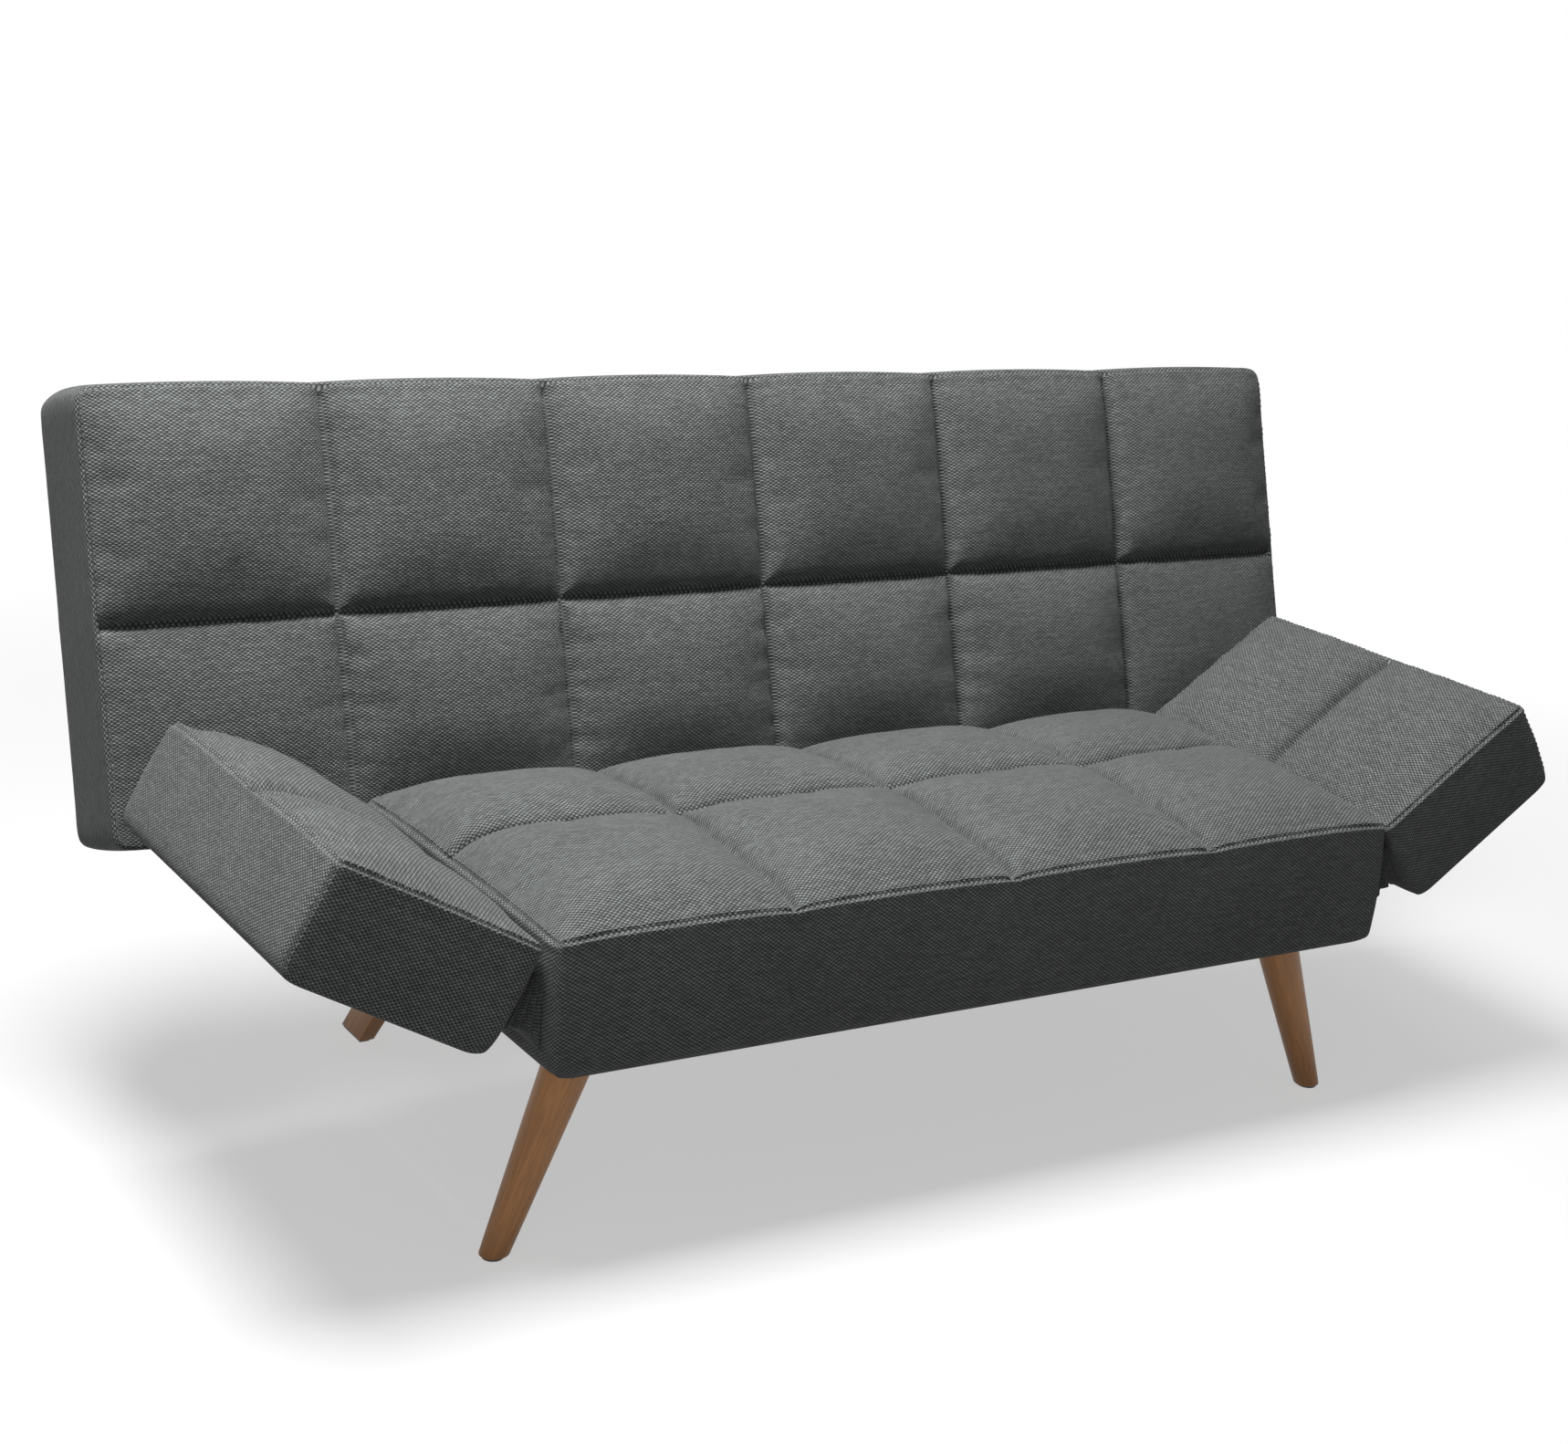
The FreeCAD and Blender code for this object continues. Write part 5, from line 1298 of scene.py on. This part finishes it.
# Gussets
def gusset(side):
    """The folded cloth in the wedge between the seat and an arm.

    One sheet with two parameters: s goes from the seat to the arm and t down the front of the wedge
    and then back along its underside. Its folds are a cosine of s that fades where it turns under.
    """
    arm = bpy.context.scene.sofa_arm
    seat = bpy.context.scene.sofa_seat
    label, angle = arm_side(side)
    hinge = hinge_place(label + "_arm_tilt")
    seat_x = seat.width / 2 + 0.0012
    inset = -arm.hinge_inset - 0.0008
    below_hinge = 0.024
    below_arm = arm.thickness - arm.hinge_inset - 0.028
    foot_z = seat.bottom + 0.034
    front = arm_front() + 0.014
    length = arm.depth - 0.028
    folds = 4
    fold_depth = 0.0065
    sag = 0.012
    columns = 49
    web_rows = 22
    under_rows = 60

    def on_arm(w):
        x = abs(hinge[0]) + inset * math.cos(angle) - w * math.sin(angle)
        return x, hinge[2] + inset * math.sin(angle) + w * math.cos(angle)

    top_x, top_z = on_arm(-below_hinge)
    foot_x, arm_foot_z = on_arm(-below_arm)
    s = np.linspace(0, 1, columns)[:, None]
    t = np.concatenate([np.linspace(0, 1, web_rows), 1 + np.linspace(0, 1, under_rows + 1)[1:]])[None, :]
    down = np.clip(t, 0, 1)
    back = np.clip(t - 1, 0, 1)
    high_x = seat_x + (top_x - seat_x) * s
    low_x = seat_x + (foot_x - seat_x) * s
    low_z = foot_z + (arm_foot_z - foot_z) * s + sag * np.sin(math.pi * s)
    x = high_x + (low_x - high_x) * down
    z = top_z + (low_z - top_z) * down
    wave = 0.5 - 0.5 * np.cos(2 * math.pi * folds * s + 0.7 * np.sin(5 * down))
    wave = wave * np.sin(math.pi * np.clip(s * 1.08 - 0.04, 0, 1)) ** 0.4
    y = front + fold_depth * wave * (1 - 0.5 * back) + length * back
    fading = np.exp(-back * 7) * (t > 1)
    z = z + 0.0035 * (wave - 0.5) * fading + 0.0015 * np.sin(back * 23 + 9 * s) * back * (1 - back) * 4
    z = z + 0.003 * np.clip((t - 0.86) / 0.14, 0, 1) * (t <= 1)
    points = np.stack([side * x, y, z], -1).reshape(-1, 3)
    quads = other_way(grid_quads(np.arange(len(points)).reshape(columns, -1)))
    if side > 0:
        quads = quads[:, ::-1]
    obj = mesh_object("gusset_" + label, points, quads.tolist())
    across = 1.25 * (foot_x - seat_x) * s
    run = (top_z - foot_z) * down + length * back
    flat = np.stack(np.broadcast_arrays(across, run), -1).reshape(-1, 2)
    lay_uv(obj.data, flat[quads])
    dress(obj, slot_finish("woven_cover"))
    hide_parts("arm_gusset_" + label)
    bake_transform(obj)


# Legs
def ring_section(turn, half_x, half_y, corner):
    """A rounded rectangle, or an ellipse when corner is None, as points round the section."""
    if corner is None:
        return np.stack([half_x * np.cos(turn), half_y * np.sin(turn)], -1)
    reach_x = half_x - corner
    reach_y = half_y - corner
    quarter = np.floor(turn / (math.pi / 2)).astype(int) % 4
    centre_x = np.where((quarter == 0) | (quarter == 3), reach_x, -reach_x)
    centre_y = np.where(quarter < 2, reach_y, -reach_y)
    return np.stack([centre_x + corner * np.cos(turn), centre_y + corner * np.sin(turn)], -1)


def leg(name, node, side, foot, lean, foot_size, top_size, corner, count):
    """A leg as a section carried along a leaning line, with a rounded foot and closed ends.

    The section at height z is the straight blend of the foot's and the top's sizes. The foot's edge
    is a quarter circle, so the lowest rings draw in by its radius.
    """
    label = arm_side(side)[0]
    foot_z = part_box("floor_glides")[1].z
    top_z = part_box(node + "_right")[1].z
    turn = (np.arange(count) + 0.5) / count * 2 * math.pi
    edge_turn = np.linspace(0, math.pi / 2, 5)
    heights = list(foot_z + FOOT_EDGE * (1 - np.cos(edge_turn)))
    insets = list(FOOT_EDGE * (1 - np.sin(edge_turn)))
    for z in np.linspace(foot_z + FOOT_EDGE, top_z, 14)[1:]:
        heights.append(z)
        insets.append(0.0)
    rings = []
    for z, inset in zip(heights, insets):
        rise = (z - foot_z) / (top_z - foot_z)
        half_x = (foot_size[0] + (top_size[0] - foot_size[0]) * rise) / 2 - inset
        half_y = (foot_size[1] + (top_size[1] - foot_size[1]) * rise) / 2 - inset
        flat = ring_section(turn, half_x, half_y, None if corner is None else max(corner - inset, 0.0003))
        centre = np.array([side * foot[0] + side * lean[0] * z, foot[1] + lean[1] * z])
        rings.append(np.column_stack([flat + centre, np.full(count, z)]))
    points = np.concatenate(rings)
    number = ring_numbers(points, count)
    walls = other_way(grid_quads(number)).tolist()
    ends = [number[0, :-1][::-1].tolist(), number[-1, :-1].tolist()]
    obj = mesh_object(name + "_" + label, points, walls + ends)
    obj.data.set_sharp_from_angle(angle=math.radians(50))
    forward = math.atan(lean[1])
    aside = math.atan2(-side * lean[0], math.hypot(1, lean[1]))
    dress(obj, material_of(name + "_" + label, leg_timber, (forward, aside, 0)))
    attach(obj, "seat")
    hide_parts(node + "_" + label)


def legs():
    stretch = math.hypot(1, TURNED_LEAN[0])
    foot, top = [(width * stretch, width) for width in TURNED_WIDTHS]
    board = (BOARD_FOOT, BOARD_LEAN, BOARD_FOOT_SIZE, BOARD_TOP_SIZE, BOARD_CORNER)
    for side in (1, -1):
        leg("turned_leg", "front_leg", side, TURNED_FOOT, TURNED_LEAN, foot, top, None, 48)
        leg("board_leg", "rear_leg", side, *board, 32)


# Carried-over solids
def finish_solids():
    """Gives every solid that shows, or could show as the sofa moves, the finish of its slot."""
    for part in frame["record"]["subparts"]:
        node = frame["nodes"].get(part["node"])
        if node is None:
            raise RuntimeError("no solid named " + part["node"])
        dress(node, slot_finish(part["material_slot"]))


# Stage
def aim(place, yaw, pitch, roll):
    """Matrix of a camera: its right, up and backward directions from its three turns."""
    ahead = Vector((-math.sin(yaw) * math.cos(pitch), math.cos(yaw) * math.cos(pitch), math.sin(pitch)))
    level = ahead.cross(Vector((0, 0, 1))).normalized()
    above = level.cross(ahead)
    right = math.cos(roll) * level + math.sin(roll) * above
    up = math.cos(roll) * above - math.sin(roll) * level
    return Matrix.Translation(place) @ Matrix((right, up, -ahead)).transposed().to_4x4()


def camera():
    s = bpy.context.scene.sofa_stage
    data = bpy.data.cameras.new("camera")
    data.sensor_width = 36.0
    data.lens = s.focal / s.image_width * data.sensor_width
    data.shift_x = (s.image_width / 2 - s.centre_x) / s.image_width
    data.shift_y = (s.centre_y - s.image_height / 2) / s.image_width
    data.clip_end = 60
    obj = bpy.data.objects.new("camera", data)
    obj.matrix_world = aim(s.place, s.yaw, s.pitch, s.roll)
    bpy.context.scene.collection.objects.link(obj)
    bpy.context.scene.camera = obj


def lamp(name, place, power):
    data = bpy.data.lights.new(name, "AREA")
    data.shape = "DISK"
    data.size = LAMP_SIZE
    data.energy = power
    obj = bpy.data.objects.new(name, data)
    obj.location = place
    obj.rotation_euler = (Vector(LAMP_TARGET) - Vector(place)).to_track_quat("-Z", "Y").to_euler()
    bpy.context.scene.collection.objects.link(obj)


def floor_finish(g):
    """Pale floor that fades to white light away from the sofa, and throws back less than it shows."""
    colours = bpy.context.scene.sofa_stage
    rays = g.add("ShaderNodeLightPath")
    seen = g.math("MAXIMUM", rays.outputs["Is Camera Ray"], rays.outputs["Is Glossy Ray"])
    seen = g.math("MAXIMUM", seen, rays.outputs["Is Transmission Ray"])
    away = g.add("ShaderNodeVectorMath", operation="LENGTH")
    g.put(away.inputs[0], g.coordinates("Object"))
    speckle = g.noise(g.coordinates("Object"), 3.0, 2.0, 0.5)
    shown = g.blend(g.spread(speckle, 0.3, 0.7), toned(colours.floor[:3], 0.985), colours.floor)
    g.finish(
        Base_Color=g.blend(seen, colours.bounce, shown),
        Roughness=0.95,
        Specular_IOR_Level=0.0,
    )
    plain = g.add("ShaderNodeEmission")
    mix = g.add("ShaderNodeMixShader")
    g.put(mix.inputs[0], g.math("MULTIPLY", seen, g.spread(away.outputs["Value"], 0.9, 2.8, 0.5, 1.0)))
    g.put(mix.inputs[1], g.shader.outputs[0])
    g.put(mix.inputs[2], plain.outputs[0])
    g.put(g.tree.nodes["Material Output"].inputs["Surface"], mix.outputs[0])


def floor():
    """A level disc that turns up far behind the sofa.

    It is rings of points. Past the level part they are lifted by the square of their distance.
    """
    count = 96
    radius = np.linspace(0, 1, 60) ** 1.5 * FLOOR_RADIUS
    turn = np.arange(count) / count * 2 * math.pi
    r, angle = np.meshgrid(radius[1:], turn, indexing="ij")
    lift = np.clip(r - FLOOR_LEVEL_RADIUS, 0, None) ** 2 / 6
    ring = np.stack([r * np.cos(angle), r * np.sin(angle), lift], -1).reshape(-1, 3)
    points = np.concatenate([[[0.0, 0.0, 0.0]], ring])
    number = ring_numbers(points, count, start=1)
    centre = np.stack([np.zeros(count, int), number[0, :-1], number[0, 1:]], -1)
    obj = mesh_object("floor", points, grid_quads(number).tolist() + centre.tolist())
    dress(obj, material_of("floor", floor_finish))


def world():
    room = bpy.data.worlds.new("studio")
    room.use_nodes = True
    tree = room.node_tree
    background = tree.nodes["Background"]
    rays = tree.nodes.new("ShaderNodeLightPath")
    mix = tree.nodes.new("ShaderNodeMapRange")
    mix.inputs["To Min"].default_value = bpy.context.scene.sofa_stage.ambient
    mix.inputs["To Max"].default_value = 1.0
    tree.links.new(rays.outputs["Is Camera Ray"], mix.inputs["Value"])
    tree.links.new(mix.outputs[0], background.inputs["Strength"])
    background.inputs["Color"].default_value = (1, 1, 1, 1)
    bpy.context.scene.world = room


# Operators
class SOFA_OT_solids(bpy.types.Operator):
    """Finishes the frame, the springs and the fittings by their slots"""

    bl_idname = "sofa.solids"
    bl_label = "Frame and fittings"
    bl_options = {"REGISTER", "UNDO"}

    def execute(self, context):
        finish_solids()
        return {"FINISHED"}


class SOFA_OT_seat(bpy.types.Operator):
    """Makes the seat cushion, its tufting and its topstitching"""

    bl_idname = "sofa.seat"
    bl_label = "Seat cushion"
    bl_options = {"REGISTER", "UNDO"}

    def execute(self, context):
        seat_cushion()
        return {"FINISHED"}


class SOFA_OT_back(bpy.types.Operator):
    """Makes the back cushion, its tufting and its edge seam"""

    bl_idname = "sofa.back"
    bl_label = "Back cushion"
    bl_options = {"REGISTER", "UNDO"}

    def execute(self, context):
        back_cushion()
        return {"FINISHED"}


class SOFA_OT_arms(bpy.types.Operator):
    """Makes the two arm cushions with their topstitched edges"""

    bl_idname = "sofa.arms"
    bl_label = "Arm cushions"
    bl_options = {"REGISTER", "UNDO"}

    def execute(self, context):
        arm_cushion(1)
        arm_cushion(-1)
        return {"FINISHED"}


class SOFA_OT_gussets(bpy.types.Operator):
    """Makes the folded cloths in the wedges between the seat and the arms"""

    bl_idname = "sofa.gussets"
    bl_label = "Gussets"
    bl_options = {"REGISTER", "UNDO"}

    def execute(self, context):
        gusset(1)
        gusset(-1)
        return {"FINISHED"}


class SOFA_OT_cloths(bpy.types.Operator):
    """Makes the cloths that close the undersides and the rear"""

    bl_idname = "sofa.cloths"
    bl_label = "Closing cloths"
    bl_options = {"REGISTER", "UNDO"}

    def execute(self, context):
        dust_cloth()
        rear_cloth()
        arm_base_cloth(1)
        arm_base_cloth(-1)
        return {"FINISHED"}


class SOFA_OT_legs(bpy.types.Operator):
    """Makes the two turned front legs and the two rear boards"""

    bl_idname = "sofa.legs"
    bl_label = "Legs"
    bl_options = {"REGISTER", "UNDO"}

    def execute(self, context):
        legs()
        return {"FINISHED"}


class SOFA_OT_stage(bpy.types.Operator):
    """Makes the floor, the lamps, the room's light and the camera"""

    bl_idname = "sofa.stage"
    bl_label = "Stage"
    bl_options = {"REGISTER", "UNDO"}

    def execute(self, context):
        camera()
        floor()
        world()
        lamp("key", KEY_PLACE, context.scene.sofa_stage.key)
        lamp("fill", FILL_PLACE, context.scene.sofa_stage.fill)
        context.scene.view_settings.view_transform = "Standard"
        return {"FINISHED"}


OPERATORS = (
    SOFA_OT_solids,
    SOFA_OT_seat,
    SOFA_OT_back,
    SOFA_OT_arms,
    SOFA_OT_gussets,
    SOFA_OT_cloths,
    SOFA_OT_legs,
    SOFA_OT_stage,
)


class SOFA_PT_steps(bpy.types.Panel):
    """Lists the steps and the sizes and colours that they use"""

    bl_idname = "SOFA_PT_steps"
    bl_label = "Sofa bed"
    bl_space_type = "VIEW_3D"
    bl_region_type = "UI"
    bl_category = "Sofa bed"

    def draw(self, context):
        for operator in OPERATORS:
            self.layout.operator(operator.bl_idname)
        for name, group in SETTINGS.items():
            box = self.layout.box()
            settings = getattr(context.scene, name)
            for key in group.__annotations__:
                box.prop(settings, key)


def register():
    for name, group in SETTINGS.items():
        bpy.utils.register_class(group)
        setattr(bpy.types.Scene, name, PointerProperty(type=group))
    for cls in (*OPERATORS, SOFA_PT_steps):
        bpy.utils.register_class(cls)


def unregister():
    for cls in reversed((*OPERATORS, SOFA_PT_steps)):
        bpy.utils.unregister_class(cls)
    for name, group in SETTINGS.items():
        delattr(bpy.types.Scene, name)
        bpy.utils.unregister_class(group)


def main():
    register()
    for operator in OPERATORS:
        step = operator.bl_idname.split(".")[1]
        getattr(bpy.ops.sofa, step)()


if __name__ == "__main__":
    main()
